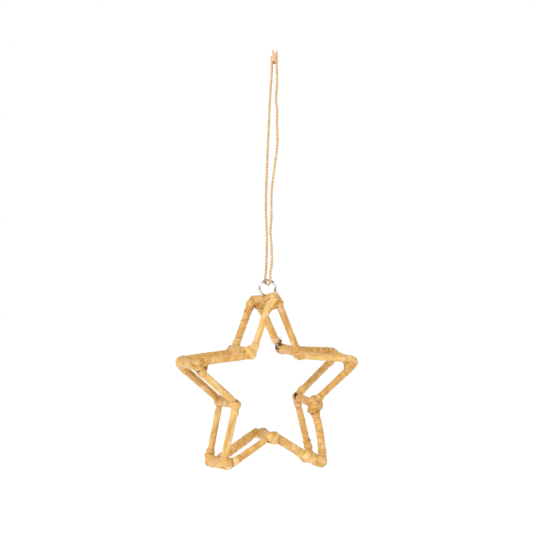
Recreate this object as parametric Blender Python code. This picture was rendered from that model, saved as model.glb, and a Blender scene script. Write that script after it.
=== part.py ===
"""Rattan star ornament on a twine loop.

Two five-pointed stars are bent from steel wire and stand one behind the other. Ten short
cross-struts weld them together corner to corner. Flat rattan peel is wound round every bar and
strut, and lashed thicker over every corner. A steel ring is tied down into the winding of the top
strut, and a loop of twine through it hangs the star up.

Frame: millimetres here, scaled to metres as objects are made. +Z is up and the front faces -Y. The
origin is the point of the twine loop, just under its knot, that a hook holds.
"""
import math

import bmesh
import bpy
from mathutils import Matrix, Vector

MM = 0.001
CLEARANCE = 0.3                     # air left between two solids that touch on the real object
JOINED = 0.01 * MM                  # closer corners than this are one
WIRE_SIDES = 6                      # of the frame's wire and the bores round it
SIDES = 8                           # of every other tube

# The wire frame
POINT_RADIUS = 64.0                 # star centre to the sharp corner of a point
NOTCH_RADIUS = 29.0                 # star centre to the sharp corner of a notch
PLANE_GAP = 30.0                    # back star to front star
STAR_CENTRE = Vector((1.2, 6.3, -216.3))
BEND_RADIUS = 3.0                   # centre line of the wire round a corner
WIRE_RADIUS = 1.0
SLEEVE_BORE = 1.5                   # corner radius of the six-sided bore through a bar's winding
POINT_BEND_POINTS = 3               # points along the wire's bend
NOTCH_BEND_POINTS = 3
BOW = 1.4                           # the front star's lower right leg bulges outwards by this
BOW_POINTS = 6

CORNERS = ("top_point", "upper_left_notch", "left_point", "lower_left_notch", "bottom_left_point",
           "bottom_notch", "bottom_right_point", "lower_right_notch", "right_point", "upper_right_notch")
BARS = ("top_left_leg", "upper_left_bar", "lower_left_bar", "left_leg", "bottom_left_bar",
        "bottom_right_bar", "right_leg", "lower_right_bar", "upper_right_bar", "top_right_leg")
BOWED_BAR = ("front", "right_leg")

# How far hand bending pulled each corner out of the true star: x and z, in the order of CORNERS
CORNER_SHIFTS = {
    "back": ((-3.9, -0.9), (-1.5, -0.4), (1.0, -1.6), (0.3, -0.3), (1.7, -2.4),
             (1.8, -0.4), (3.2, -0.4), (0.7, 1.2), (0.8, 3.1), (-1.6, 1.5)),
    "front": ((-2.3, 0.2), (0.0, -0.1), (2.3, -0.9), (0.3, 1.0), (0.7, 0.7),
              (-0.9, 0.1), (-1.1, 0.3), (-0.4, -0.4), (0.1, -0.3), (-0.4, -0.4)),
}

# The windings of peel: outer radii, in the order of BARS and CORNERS
BAR_RADII = {
    "back": (2.35, 2.4, 2.45, 2.2, 3.0, 2.4, 2.3, 2.35, 2.5, 2.6),
    "front": (2.2, 2.25, 2.4, 2.35, 2.3, 2.4, 2.8, 2.25, 2.4, 2.25),
}
BINDING_RADII = {
    "back": (3.1, 3.5, 4.0, 2.9, 4.1, 3.3, 3.2, 2.8, 3.3, 3.0),
    "front": (3.5, 3.2, 3.5, 3.0, 3.8, 3.5, 3.3, 4.6, 3.8, 3.2),
}
STRUT_RADII = (3.1, 2.7, 2.6, 2.5, 2.9, 2.7, 2.5, 2.4, 2.5, 2.5)
POINT_REACH = 1.0                   # a binding runs this far past the bend of a point
TOP_REACH = 3.2                     # and this far past the bend of the two top points
NOTCH_REACH = 3.4                   # and past the bend of a notch
LAST_TURN_RISE = 0.4                # the last turn of a binding stands this much proud of the bar
TURN_LENGTH = 9.5                   # of a bar covered by each modelled turn of peel
TURN_LAP = 0.22                     # each turn stands this much proud of the end of the one before
LAP_LENGTH = 0.2                    # along the bar, of the slope between them

# The ring, tied down on the top strut
RING_OUTER = 12.4
RING_WIRE = 1.7
RING_PLACE = Vector((-1.95, 0.0, -149.3))
RING_TURN = math.radians(-12.0)     # towards the star's left
RING_STEPS = 18

# The twine: a loop through the ring, with both ends in one knot
TWINE_RADIUS = 0.9
TWINE_STEP = 5.4                    # along the loop, between the tube's points
TWINE_BEND_STEP = 1.6               # and where it rounds the ring
TWINE_ROUTE = (                     # down behind the ring, under its top and up in front
    (-1.3, 0.9, -0.4), (-1.3, 1.2, -8.0), (-1.7, 1.5, -17.0), (-2.1, 1.7, -26.0), (-2.3, 1.8, -38.0),
    (-2.7, 1.9, -50.0), (-3.0, 2.0, -64.0), (-3.4, 2.0, -82.0), (-3.4, 2.0, -96.0), (-2.9, 2.0, -105.0),
    (-2.4, 2.0, -114.0), (-2.3, 2.0, -124.0), (-2.4, 2.0, -133.0), (-2.6, 2.1, -139.0), (-2.9, 2.35, -142.4),
    (-3.0, 2.4, -144.2), (-2.65, 1.65, -145.9), (-1.95, 0.0, -146.65),
    (-1.25, -1.65, -145.9), (-0.9, -2.4, -144.2), (-1.0, -2.35, -142.4), (-1.1, -2.1, -139.5),
    (-0.4, -2.0, -135.0), (-0.1, -2.0, -130.0), (-0.6, -2.0, -120.0), (-1.5, -2.0, -112.0),
    (-1.0, -2.0, -103.0), (-1.2, -2.0, -91.0), (-0.9, -2.0, -82.0), (0.5, -2.0, -70.0),
    (2.0, -2.0, -58.0), (2.4, -1.9, -50.0), (1.9, -1.8, -39.0), (2.0, -1.7, -31.0),
    (1.0, -1.6, -24.0), (1.5, -1.5, -16.0), (1.7, -1.3, -10.0), (1.5, -1.1, -5.0), (1.3, -0.9, -0.4),
)
KNOT_CORE = ((0.0, 1.9), (0.6, 2.3), (2.6, 2.3), (5.0, 1.9), (5.6, 0.9))       # heights and radii
KNOT_TURN_RADIUS = 1.7
KNOT_SIDES = 6
KNOT_STEPS = 10                     # points round each turn
KNOT_TURNS = ((1.7, 24.0), (3.7, -24.0))        # height and tilt in degrees of each turn of the knot
KNOT_TAIL_ROOT = 4.0                # height where the cut ends leave the core
KNOT_TAILS = ((-1.0, 0.5, 9.0), (1.3, -0.4, 8.0))

PLANNED_BOOLEANS = []


# Collections and materials

def new_collection(name):
    """Makes a collection in the scene."""
    collection = bpy.data.collections.new(name)
    bpy.context.scene.collection.children.link(collection)
    return collection


def new_material(name, colour, roughness, metallic):
    """Makes a Principled material."""
    material = bpy.data.materials.new(name)
    material.use_nodes = True
    shader = material.node_tree.nodes["Principled BSDF"]
    shader.inputs["Base Color"].default_value = (*colour, 1.0)
    shader.inputs["Roughness"].default_value = roughness
    shader.inputs["Metallic"].default_value = metallic
    material.diffuse_color = (*colour, 1.0)
    return material


# Shapes

def new_object(name, mesh, collection, material=None):
    """Puts a mesh into the scene as an object."""
    thing = bpy.data.objects.new(name, mesh)
    collection.objects.link(thing)
    if material:
        mesh.materials.append(material)
    mesh.shade_smooth()
    mesh.set_sharp_from_angle(angle=math.radians(35.0))
    return thing


def sweep(name, points, radii, sides, cyclic, caps):
    """Makes the mesh of a round section carried along points, with one radius or a radius for each point."""
    curve = bpy.data.curves.new(name, "CURVE")
    curve.dimensions = "3D"
    curve.bevel_depth = MM
    curve.bevel_resolution = sides // 2 - 2
    curve.resolution_u = 1
    curve.render_resolution_u = 0
    curve.use_fill_caps = caps
    spline = curve.splines.new("POLY")
    spline.points.add(len(points) - 1)
    spline.use_cyclic_u = cyclic
    if isinstance(radii, float):
        radii = [radii] * len(points)
    for knot, place, radius in zip(spline.points, points, radii):
        knot.co = (*(place * MM), 1.0)
        knot.radius = radius
    guide = bpy.data.objects.new(name + "_curve", curve)
    bpy.context.scene.collection.objects.link(guide)
    graph = bpy.context.evaluated_depsgraph_get()
    mesh = bpy.data.meshes.new_from_object(guide.evaluated_get(graph))
    bpy.data.objects.remove(guide)
    mesh.name = name
    return mesh


def tube(name, points, radii, collection, material=None, cyclic=False, sides=SIDES):
    """Makes a closed solid tube along points."""
    mesh = sweep(name, points, radii, sides, cyclic, caps=not cyclic)
    shape = bmesh.new()
    shape.from_mesh(mesh)
    bmesh.ops.remove_doubles(shape, verts=shape.verts, dist=JOINED)
    bmesh.ops.recalc_face_normals(shape, faces=shape.faces)
    shape.to_mesh(mesh)
    shape.free()
    return new_object(name, mesh, collection, material)


def sleeve(name, points, radii, bore_points, collection, material):
    """Makes a closed sleeve: an outer sweep and a bore for the wire, bridged at both ends."""
    mesh = sweep(name, points, radii, SIDES, cyclic=False, caps=False)
    bore = sweep(name + "_bore", bore_points, SLEEVE_BORE, WIRE_SIDES, cyclic=False, caps=False)
    bore.flip_normals()
    shape = bmesh.new()
    shape.from_mesh(mesh)
    shape.from_mesh(bore)
    bpy.data.meshes.remove(bore)
    open_edges = [edge for edge in shape.edges if edge.is_boundary]
    for end in (points[0] * MM, points[-1] * MM):
        near = [edge for edge in open_edges if (edge.verts[0].co - end).length < 2.0 * max(radii) * MM]
        bmesh.ops.bridge_loops(shape, edges=near)
    bmesh.ops.recalc_face_normals(shape, faces=shape.faces)
    shape.to_mesh(mesh)
    shape.free()
    return new_object(name, mesh, collection, material)


def plan_boolean(thing, other, operation, solver="EXACT"):
    """Notes a Boolean of another object, or of a collection of them, for when every shape is made."""
    PLANNED_BOOLEANS.append((thing, other, operation, solver))


def add_booleans():
    """Adds the planned Booleans as live modifiers."""
    for thing, other, operation, solver in PLANNED_BOOLEANS:
        boolean = thing.modifiers.new(operation.lower(), "BOOLEAN")
        boolean.operation = operation
        boolean.solver = solver
        if isinstance(other, bpy.types.Collection):
            boolean.operand_type = "COLLECTION"
            boolean.collection = other
        else:
            boolean.object = other


def hide_cutter(thing):
    """Marks a cutter, which is no piece of the ornament."""
    thing.hide_render = True
    thing.display_type = "WIRE"
    return thing


# The star's wire

def sharp_corner(side, index):
    """Gives the place where two bars would meet if the wire were not rounded."""
    radius = NOTCH_RADIUS if index % 2 else POINT_RADIUS
    angle = math.radians(90.0 + 36.0 * index)
    shift = CORNER_SHIFTS[side][index % 10]
    depth = PLANE_GAP / 2.0 if side == "back" else -PLANE_GAP / 2.0
    flat = Vector((radius * math.cos(angle) + shift[0], depth, radius * math.sin(angle) + shift[1]))
    return STAR_CENTRE + flat


def bend(side, index):
    """Gives the arc that rounds a corner, from one bar to the next, as a list of points."""
    corner = sharp_corner(side, index)
    back_way = (sharp_corner(side, index - 1) - corner).normalized()
    next_way = (sharp_corner(side, index + 1) - corner).normalized()
    half_angle = back_way.angle(next_way) / 2.0
    centre = corner + (back_way + next_way).normalized() * BEND_RADIUS / math.sin(half_angle)
    tangent = BEND_RADIUS / math.tan(half_angle)
    start = (corner + back_way * tangent - centre).normalized()
    end = (corner + next_way * tangent - centre).normalized()
    count = NOTCH_BEND_POINTS if index % 2 else POINT_BEND_POINTS
    return [centre + start.slerp(end, step / (count - 1)) * BEND_RADIUS for step in range(count)]


def joint(side, index):
    """Gives the middle of a bend, where the cross-strut is welded."""
    arc = bend(side, index)
    corner = sharp_corner(side, index)
    middle = (arc[0] + arc[-1]) / 2.0
    half_chord = (arc[0] - arc[-1]).length / 2.0
    rise = BEND_RADIUS - math.sqrt(BEND_RADIUS ** 2 - half_chord ** 2)
    return middle + (corner - middle).normalized() * rise


def bar_point(side, index, share):
    """Gives a point on a bar's wire, at a share of the way from its first bend to its second."""
    start = bend(side, index)[-1]
    end = bend(side, index + 1)[0]
    place = start.lerp(end, share)
    if (side, BARS[index % 10]) == BOWED_BAR:
        outwards = Vector((-(end - start).z, 0.0, (end - start).x)).normalized()
        if outwards.dot(place - STAR_CENTRE) < 0.0:
            outwards.negate()
        place += outwards * BOW * math.sin(math.pi * share)
    return place


def bar_length(side, index):
    """Gives the straight length of a bar between its two bends."""
    return (bend(side, index + 1)[0] - bend(side, index)[-1]).length


def star_path(side):
    """Gives the closed path of one star's wire."""
    path = []
    for index in range(10):
        path.extend(bend(side, index))
        if (side, BARS[index]) == BOWED_BAR:
            path.extend(bar_point(side, index, step / BOW_POINTS) for step in range(1, BOW_POINTS))
    return path


def wire_tubes(name, radius, collection):
    """Makes the tubes of both stars and of the ten cross-struts, keyed by side and by corner."""
    tubes = {}
    for side in ("back", "front"):
        star = tube(f"{name}_{side}_star", star_path(side), radius, collection, cyclic=True, sides=WIRE_SIDES)
        tubes[side] = hide_cutter(star)
    for index, corner in enumerate(CORNERS):
        ends = [joint("back", index), joint("front", index)]
        strut = tube(f"{name}_{corner}_strut", ends, radius, collection, sides=WIRE_SIDES)
        tubes[corner] = hide_cutter(strut)
    return tubes


def wire_frame(collection, pieces, material):
    """Makes the welded frame as one body, by a Boolean union of its tubes."""
    wire_tubes("wire_frame", WIRE_RADIUS, pieces)
    frame = tube("wire_frame", star_path("back"), WIRE_RADIUS, collection, material, cyclic=True,
                 sides=WIRE_SIDES)
    bpy.data.objects.remove(bpy.data.objects["wire_frame_back_star"])
    plan_boolean(frame, pieces, "UNION")
    return frame


# The windings of peel

def turns(length, radius):
    """Gives the distances and radii along a winding, each turn standing proud of the one before."""
    count = round(length / TURN_LENGTH)
    pitch = length / count
    steps = []
    for turn in range(count):
        steps.append((turn * pitch, radius + TURN_LAP / 2.0))
        steps.append(((turn + 1) * pitch - LAP_LENGTH, radius - TURN_LAP / 2.0))
    steps[-1] = (length, radius - TURN_LAP / 2.0)
    return steps


def reach(index):
    """Gives how far a corner's binding runs along the bars past the bend."""
    if index % 10 == 0:
        return TOP_REACH
    return NOTCH_REACH if index % 2 else POINT_REACH


def bar_winding(side, index, collection, material):
    """Makes the peel round one bar, between the bindings of its two corners."""
    whole = bar_length(side, index)
    first = reach(index) + CLEARANCE
    last = whole - reach(index + 1) - CLEARANCE
    steps = turns(last - first, BAR_RADII[side][index])
    points = [bar_point(side, index, (first + distance) / whole) for distance, _ in steps]
    bore_points = points if (side, BARS[index]) == BOWED_BAR else [points[0], points[-1]]
    radii = [radius for _, radius in steps]
    return sleeve(f"{side}_{BARS[index]}_winding", points, radii, bore_points, collection, material)


def strut_winding(index, collection, material):
    """Makes the peel round one cross-strut, between the bindings of its two corners."""
    back, front = joint("back", index), joint("front", index)
    way = (front - back).normalized()
    start = back + way * (BINDING_RADII["back"][index] + CLEARANCE)
    end = front - way * (BINDING_RADII["front"][index] + CLEARANCE)
    steps = turns((end - start).length, STRUT_RADII[index])
    points = [start + way * distance for distance, _ in steps]
    radii = [radius for _, radius in steps]
    return sleeve(f"{CORNERS[index]}_strut_winding", points, radii, [start, end], collection, material)


def corner_binding(side, index, collection, material, bores):
    """Makes the lashing over a corner: a hull round the bend and the last turn on each bar."""
    centre = joint(side, index)
    shape = bmesh.new()
    bmesh.ops.create_icosphere(shape, subdivisions=2, radius=BINDING_RADII[side][index],
                               matrix=Matrix.Translation(centre))
    for bar, from_start in ((index - 1, False), (index, True)):
        share = reach(index) / bar_length(side, bar)
        outer = bar_point(side, bar, share if from_start else 1.0 - share)
        edge = bend(side, index)[-1 if from_start else 0]
        way = (outer - edge).normalized()
        radius = BAR_RADII[side][bar % 10] + LAST_TURN_RISE
        ring = bmesh.ops.create_circle(shape, cap_ends=False, segments=SIDES, radius=radius)["verts"]
        turn = Vector((0.0, 0.0, 1.0)).rotation_difference(way).to_matrix().to_4x4()
        bmesh.ops.transform(shape, matrix=Matrix.Translation(outer) @ turn, verts=ring)
    bmesh.ops.delete(shape, geom=shape.edges[:] + shape.faces[:], context="EDGES_FACES")
    bmesh.ops.convex_hull(shape, input=shape.verts)
    inside = [vertex for vertex in shape.verts if not vertex.link_faces]
    bmesh.ops.delete(shape, geom=inside, context="VERTS")
    bmesh.ops.recalc_face_normals(shape, faces=shape.faces)
    bmesh.ops.scale(shape, vec=(MM, MM, MM), verts=shape.verts)
    name = f"{side}_{CORNERS[index]}_binding"
    mesh = bpy.data.meshes.new(name)
    shape.to_mesh(mesh)
    shape.free()
    binding = new_object(name, mesh, collection, material)
    plan_boolean(binding, bores[side], "DIFFERENCE")
    plan_boolean(binding, bores[CORNERS[index]], "DIFFERENCE")
    return binding


# The ring and the twine

def ring(name, wire_radius, collection, material=None):
    """Makes the steel ring, or the groove that it lies in."""
    bpy.ops.mesh.primitive_torus_add(major_segments=RING_STEPS, minor_segments=SIDES,
                                     major_radius=(RING_OUTER - RING_WIRE) / 2.0 * MM,
                                     minor_radius=wire_radius * MM)
    made = bpy.context.active_object
    mesh = made.data
    bpy.data.objects.remove(made)
    mesh.name = name
    mesh.transform(Matrix.Rotation(RING_TURN, 4, "Z") @ Matrix.Rotation(math.pi / 2.0, 4, "X"))
    thing = new_object(name, mesh, collection, material)
    thing.location = RING_PLACE * MM
    return thing


def smooth_route(route):
    """Reads points from a Catmull-Rom curve through a route, closer together where it rounds the ring."""
    places = [Vector(place) for place in route]
    places = [2.0 * places[0] - places[1], *places, 2.0 * places[-1] - places[-2]]
    fine = []
    for before, start, end, after in zip(places, places[1:], places[2:], places[3:]):
        for share in (number / 24.0 for number in range(24)):
            tangent = (end - before) * share + (2.0 * before - 5.0 * start + 4.0 * end - after) * share ** 2
            fine.append(start + 0.5 * (tangent + (3.0 * start - before - 3.0 * end + after) * share ** 3))
    chosen = [fine[0]]
    for place in fine:
        step = TWINE_STEP if place.z > RING_PLACE.z + RING_OUTER / 2.0 + TWINE_STEP else TWINE_BEND_STEP
        if (place - chosen[-1]).length >= step:
            chosen.append(place)
    chosen[-1] = places[-2]
    return chosen


def twine_knot(collection, material, pieces):
    """Makes the overhand knot: two tilted turns round a core, with the twine's two cut ends above."""
    core = [Vector((0.0, 0.0, height)) for height, _ in KNOT_CORE]
    knot = tube("twine_knot", core, [radius for _, radius in KNOT_CORE], collection, material)
    for number, (height, tilt) in enumerate(KNOT_TURNS):
        lean = Matrix.Rotation(math.radians(tilt), 3, "Y")
        around = [Vector((KNOT_TURN_RADIUS * math.cos(angle), KNOT_TURN_RADIUS * math.sin(angle), 0.0))
                  for angle in (math.tau * step / KNOT_STEPS for step in range(KNOT_STEPS))]
        points = [lean @ place + Vector((0.0, 0.0, height)) for place in around]
        turn = tube(f"twine_knot_turn_{number + 1}", points, TWINE_RADIUS, pieces, cyclic=True,
                    sides=KNOT_SIDES)
        hide_cutter(turn)
        plan_boolean(knot, turn, "UNION", "MANIFOLD")
    for number, tip in enumerate(KNOT_TAILS):
        root = Vector((0.0, 0.0, KNOT_TAIL_ROOT))
        points = [root, Vector(tip)]
        tail = tube(f"twine_knot_tail_{number + 1}", points, TWINE_RADIUS, pieces, sides=KNOT_SIDES)
        hide_cutter(tail)
        plan_boolean(knot, tail, "UNION", "MANIFOLD")
    return knot


def build():
    """Builds the whole ornament."""
    for thing in list(bpy.data.objects):
        bpy.data.objects.remove(thing)
    ornament = new_collection("rattan_star_ornament")
    cutters = new_collection("cutters")
    wire_pieces = new_collection("wire_pieces")

    steel = new_material("dull_steel_wire", (0.42, 0.41, 0.39), 0.38, 1.0)
    plated = new_material("plated_ring_steel", (0.80, 0.79, 0.77), 0.14, 1.0)
    peel = new_material("rattan_peel", (0.72, 0.42, 0.14), 0.45, 0.0)
    lashing = new_material("rattan_lashing", (0.68, 0.38, 0.12), 0.48, 0.0)
    jute = new_material("jute_twine", (0.66, 0.46, 0.24), 0.85, 0.0)

    wire_frame(ornament, wire_pieces, steel)
    bores = wire_tubes("wire_bore", WIRE_RADIUS + CLEARANCE, cutters)
    groove = hide_cutter(ring("ring_groove", RING_WIRE / 2.0 + CLEARANCE, cutters))

    for side in ("back", "front"):
        for index in range(10):
            bar_winding(side, index, ornament, peel)
            binding = corner_binding(side, index, ornament, lashing, bores)
            if index == 0:
                plan_boolean(binding, groove, "DIFFERENCE", "MANIFOLD")
    for index in range(10):
        winding = strut_winding(index, ornament, peel)
        if index == 0:
            plan_boolean(winding, groove, "DIFFERENCE", "MANIFOLD")

    ring("hanging_ring", RING_WIRE / 2.0, ornament, plated)
    tube("twine_loop", smooth_route(TWINE_ROUTE), TWINE_RADIUS, ornament, jute)
    twine_knot(ornament, jute, cutters)
    add_booleans()


build()
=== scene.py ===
# %% [markdown]
# # A rattan star on a twine loop
#
# Two five-pointed stars of steel wire stand one behind the other, joined corner to corner by ten
# short struts. Flat strips of rattan peel are wound or laid over every bar and lashed thicker over
# every corner. A steel ring is tied down at the top, and a loop of jute twine goes through it.
#
# The measured frame is loaded first. The places of the bars, corners, struts and ring are worked
# out from its nodes, and the twine's route repeats the points of the frame's own twine. The frame
# itself is never moved or changed: each of its nodes is hidden behind a finer piece that stands
# for it.

import bpy
import numpy as np
from mathutils import Matrix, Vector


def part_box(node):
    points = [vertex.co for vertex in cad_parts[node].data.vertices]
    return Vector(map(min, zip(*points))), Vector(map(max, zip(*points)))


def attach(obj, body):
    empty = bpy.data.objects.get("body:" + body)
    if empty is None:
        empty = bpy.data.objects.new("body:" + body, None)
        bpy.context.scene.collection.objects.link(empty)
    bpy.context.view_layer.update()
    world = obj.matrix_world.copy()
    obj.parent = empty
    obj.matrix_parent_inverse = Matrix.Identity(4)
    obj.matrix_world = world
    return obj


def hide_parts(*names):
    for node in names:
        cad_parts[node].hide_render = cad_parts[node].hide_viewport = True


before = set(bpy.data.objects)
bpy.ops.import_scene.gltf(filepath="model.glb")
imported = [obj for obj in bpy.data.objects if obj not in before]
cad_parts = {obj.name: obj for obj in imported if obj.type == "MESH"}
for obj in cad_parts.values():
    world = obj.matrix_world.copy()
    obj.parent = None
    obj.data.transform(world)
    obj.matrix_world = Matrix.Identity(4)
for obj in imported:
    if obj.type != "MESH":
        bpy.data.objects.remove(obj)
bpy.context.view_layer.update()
MM = 0.001

# %% [markdown]
# ## The camera
#
# The star is seen a little from its left, so that both outlines show side by side. A long lens from
# three quarters of a metre keeps them nearly the same size. The camera could track an empty, but a
# place and three turns say the same and add nothing to the scene. It leans by one degree, because
# the ornament does not hang quite straight.

# %% Camera
LENS, SENSOR = 80.0, 36.0                   # in mm
CAMERA_PLACE = (-303.5, -725.4, -134.8)     # in mm
CAMERA_TURN = -22.5                         # in degrees, round the upright axis
CAMERA_LEAN = 1.0                           # in degrees, round the line of sight


def add_object(name, data):
    """An object of a mesh, a lamp or a camera, put in the scene."""
    thing = bpy.data.objects.new(name, data)
    bpy.context.scene.collection.objects.link(thing)
    return thing


camera_data = bpy.data.cameras.new("camera")
camera_data.lens = LENS
camera_data.sensor_width = SENSOR
camera = add_object("camera", camera_data)
camera.matrix_world = (
    Matrix.Translation(np.array(CAMERA_PLACE) * MM)
    @ Matrix.Rotation(np.radians(CAMERA_TURN), 4, "Z")
    @ Matrix.Rotation(np.radians(90.0), 4, "X")
    @ Matrix.Rotation(np.radians(CAMERA_LEAN), 4, "Z")
)
bpy.context.scene.camera = camera
print("camera lens in mm:", LENS)

# %% [markdown]
# ## Guides and grids
#
# Twine, wire and peel have one thing in common: a section carried along a line. Blender's curves do
# that with a bevel, but a bevel is the same all the way along. Here the line is an array of places,
# each with two directions across it, and the section may change at every step. The result is a grid
# of points, and a grid is easily made a mesh: each cell is a face, and each end is one more face.

# %% Guides
WAVES = 5                                   # sines in a ripple


def unit(vectors):
    """Vectors divided by their lengths."""
    return vectors / np.linalg.norm(vectors, axis=-1, keepdims=True)


def guide(places, side):
    """A line through places: distance along it, and at each place a first direction across it
    (side, less its part along the line) and a second (the line's own direction times the first)."""
    places = np.asarray(places, float)
    steps = np.linalg.norm(np.diff(places, axis=0), axis=1)
    distance = np.concatenate([[0.0], np.cumsum(steps)])
    along = unit(np.gradient(places, distance, axis=0))
    side = np.asarray(side, float)
    side = unit(side - (along @ side)[:, None] * along)
    return {"distance": distance, "place": places, "side": side, "up": np.cross(along, side)}


def on_guide(line, distance, angle, radius):
    """Points round a guide: its place at a distance along it, plus a radius times the cosine of the
    angle in the first direction across and the sine in the second."""
    distance, angle, radius = np.broadcast_arrays(distance, angle, radius)

    def read(key):
        return np.stack([np.interp(distance, line["distance"], line[key][:, k]) for k in range(3)], -1)

    way = np.cos(angle)[..., None] * read("side") + np.sin(angle)[..., None] * read("up")
    return read("place") + radius[..., None] * way


def ripple(values, seed):
    """A smooth random wave between about -1 and 1: the mean of a few sines whose frequencies and
    phases come from a seed."""
    draw = np.random.default_rng(seed)
    rates, phases = draw.uniform(0.35, 1.65, WAVES), draw.uniform(0.0, 2.0 * np.pi, WAVES)
    return np.sin(np.asarray(values)[..., None] * rates + phases).mean(-1) * 1.6


def smooth_step(values, low, high):
    """0 below low, 1 above high, and 3x^2 - 2x^3 between them."""
    x = np.clip((np.asarray(values, float) - low) / (high - low), 0.0, 1.0)
    return x * x * (3.0 - 2.0 * x)


right_angle = guide([(0, 0, 0), (1, 0, 0), (1, 1, 0)], (0, 0, 1))
print("length of a guide along two sides of a square:", right_angle["distance"][-1])

# %% Grids to meshes
STRIP_MAP = ("along", "across")             # kept as the UV map
POINT_VALUES = ("edge", "tone", "painted_shade")      # kept as attributes


def grid(points, along, across, edge=0.0, tone=0.5, painted_shade=0.0, closed=False):
    """A sheet of points, rows by columns. The columns always close on themselves, as a section
    does. The rows close too if closed is set, as a ring's do. Along and across say how far each
    point is along and across the strip, edge how near its edge, and the last value how much shade
    is painted on the point, deep in a gap or a seam."""
    values = {"along": along, "across": across, "edge": edge, "tone": tone, "painted_shade": painted_shade}
    spread = {name: np.broadcast_to(value, points.shape[:2]).ravel() for name, value in values.items()}
    return {"points": points, "closed": closed, **spread}


def grid_faces(sheet, first):
    """Four corners for each cell, and the first and last row as end faces, all turned outwards:
    the order is reversed if the volume under the faces comes out negative."""
    rows, columns = sheet["points"].shape[:2]
    i = np.arange(rows if sheet["closed"] else rows - 1)[:, None]
    j = np.arange(columns)[None, :]
    below, beside = (i + 1) % rows * columns, (j + 1) % columns
    cells = np.stack([i * columns + j, i * columns + beside, below + beside, below + j], -1).reshape(-1, 4)
    corner = (sheet["points"] - sheet["points"].mean((0, 1))).reshape(-1, 3)[cells]
    volume = np.einsum("ij,ij->", corner[:, 0], np.cross(corner[:, 1], corner[:, 2]))
    volume += np.einsum("ij,ij->", corner[:, 0], np.cross(corner[:, 2], corner[:, 3]))
    ends = [] if sheet["closed"] else [np.arange(columns)[::-1], (rows - 1) * columns + np.arange(columns)]
    if volume < 0.0:
        cells, ends = cells[:, ::-1], [end[::-1] for end in ends]
    return (cells + first).tolist() + [(end + first).tolist() for end in ends]


def make_piece(name, sheets, slot, *nodes):
    """One object from several sheets. Along and across become its UV map, in millimetres, and the
    rest become attributes that its finish reads. It stands for the nodes and rides on the root."""
    faces, first = [], 0
    for sheet in sheets:
        faces += grid_faces(sheet, first)
        first += len(sheet["along"])
    whole = {key: np.concatenate([sheet[key] for sheet in sheets]) for key in STRIP_MAP + POINT_VALUES}
    mesh = bpy.data.meshes.new(name)
    mesh.from_pydata(np.concatenate([sheet["points"].reshape(-1, 3) for sheet in sheets]), [], faces)
    corners = np.empty(len(mesh.loops), int)
    mesh.loops.foreach_get("vertex_index", corners)
    strip = np.stack([whole[key] / MM for key in STRIP_MAP], -1)
    mesh.uv_layers.new(name="strip").data.foreach_set("uv", strip[corners].ravel())
    for key in POINT_VALUES:
        mesh.attributes.new(key, "FLOAT", "POINT").data.foreach_set("value", whole[key])
    mesh.shade_smooth()
    piece = add_object(name, mesh)
    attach(piece, "root")
    if nodes:
        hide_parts(*nodes)
    return piece


print("each point of a sheet keeps:", STRIP_MAP + POINT_VALUES)

# %% [markdown]
# ## The twine loop
#
# Jute twine is two plies twisted round each other. The loop starts in the knot, goes down behind
# the ring's top, under it, and up in front to the same knot. It is limp and hangs under the star's
# weight, so its two strands are almost straight, with the small waves that handling leaves.
#
# A screw modifier could twist two tubes, but it would not follow a bent route. So the section is
# the outline of two round plies pressed together, and it turns by one whole turn for each lay length.

# %% Twine route
PLY_RADIUS, PLY_OFFSET = 0.58 * MM, 0.31 * MM
LAY = 4.4 * MM                              # length of one whole turn of the plies
TWINE_SIDES = 18
TWINE_STEP = 0.42 * MM
TWINE_ROUTE = MM * np.array((        # down behind the ring, under its top and up in front
    (-1.3, 0.9, -0.4), (-1.3, 1.2, -8.0), (-1.7, 1.5, -17.0), (-2.1, 1.7, -26.0), (-2.3, 1.8, -38.0),
    (-2.7, 1.9, -50.0), (-3.0, 2.0, -64.0), (-3.4, 2.0, -82.0), (-3.4, 2.0, -96.0), (-2.9, 2.0, -105.0),
    (-2.4, 2.0, -114.0), (-2.3, 2.0, -124.0), (-2.4, 2.0, -133.0), (-2.6, 2.1, -139.0), (-2.9, 2.35, -142.4),
    (-3.0, 2.4, -144.2), (-2.65, 1.65, -145.9), (-1.95, 0.0, -146.65),
    (-1.25, -1.65, -145.9), (-0.9, -2.4, -144.2), (-1.0, -2.35, -142.4), (-1.1, -2.1, -139.5),
    (-0.4, -2.0, -135.0), (-0.1, -2.0, -130.0), (-0.6, -2.0, -120.0), (-1.5, -2.0, -112.0),
    (-1.0, -2.0, -103.0), (-1.2, -2.0, -91.0), (-0.9, -2.0, -82.0), (0.5, -2.0, -70.0),
    (2.0, -2.0, -58.0), (2.4, -1.9, -50.0), (1.9, -1.8, -39.0), (2.0, -1.7, -31.0),
    (1.0, -1.6, -24.0), (1.5, -1.5, -16.0), (1.7, -1.3, -10.0), (1.5, -1.1, -5.0), (1.3, -0.9, -0.4),
))


def smooth_route(route, step):
    """A Catmull-Rom curve through the route's points: between two of them, half of (2b + (c-a)t +
    (2a-5b+4c-d)t^2 + (3b-a-3c+d)t^3). It is then read again at equal steps along its length."""
    ends = np.vstack([2 * route[0] - route[1], route, 2 * route[-1] - route[-2]])
    a, b, c, d = (ends[k:len(ends) - 3 + k, None] for k in range(4))
    t = np.linspace(0.0, 1.0, 40, endpoint=False)[None, :, None]
    curve = (2 * b + (c - a) * t + (2 * a - 5 * b + 4 * c - d) * t**2 + (3 * b - a - 3 * c + d) * t**3) / 2
    curve = np.vstack([curve.reshape(-1, 3), route[-1]])
    distance = np.concatenate([[0.0], np.cumsum(np.linalg.norm(np.diff(curve, axis=0), axis=1))])
    even = np.linspace(0.0, distance[-1], int(distance[-1] / step) + 1)
    return np.stack([np.interp(even, distance, curve[:, k]) for k in range(3)], -1)


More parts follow.
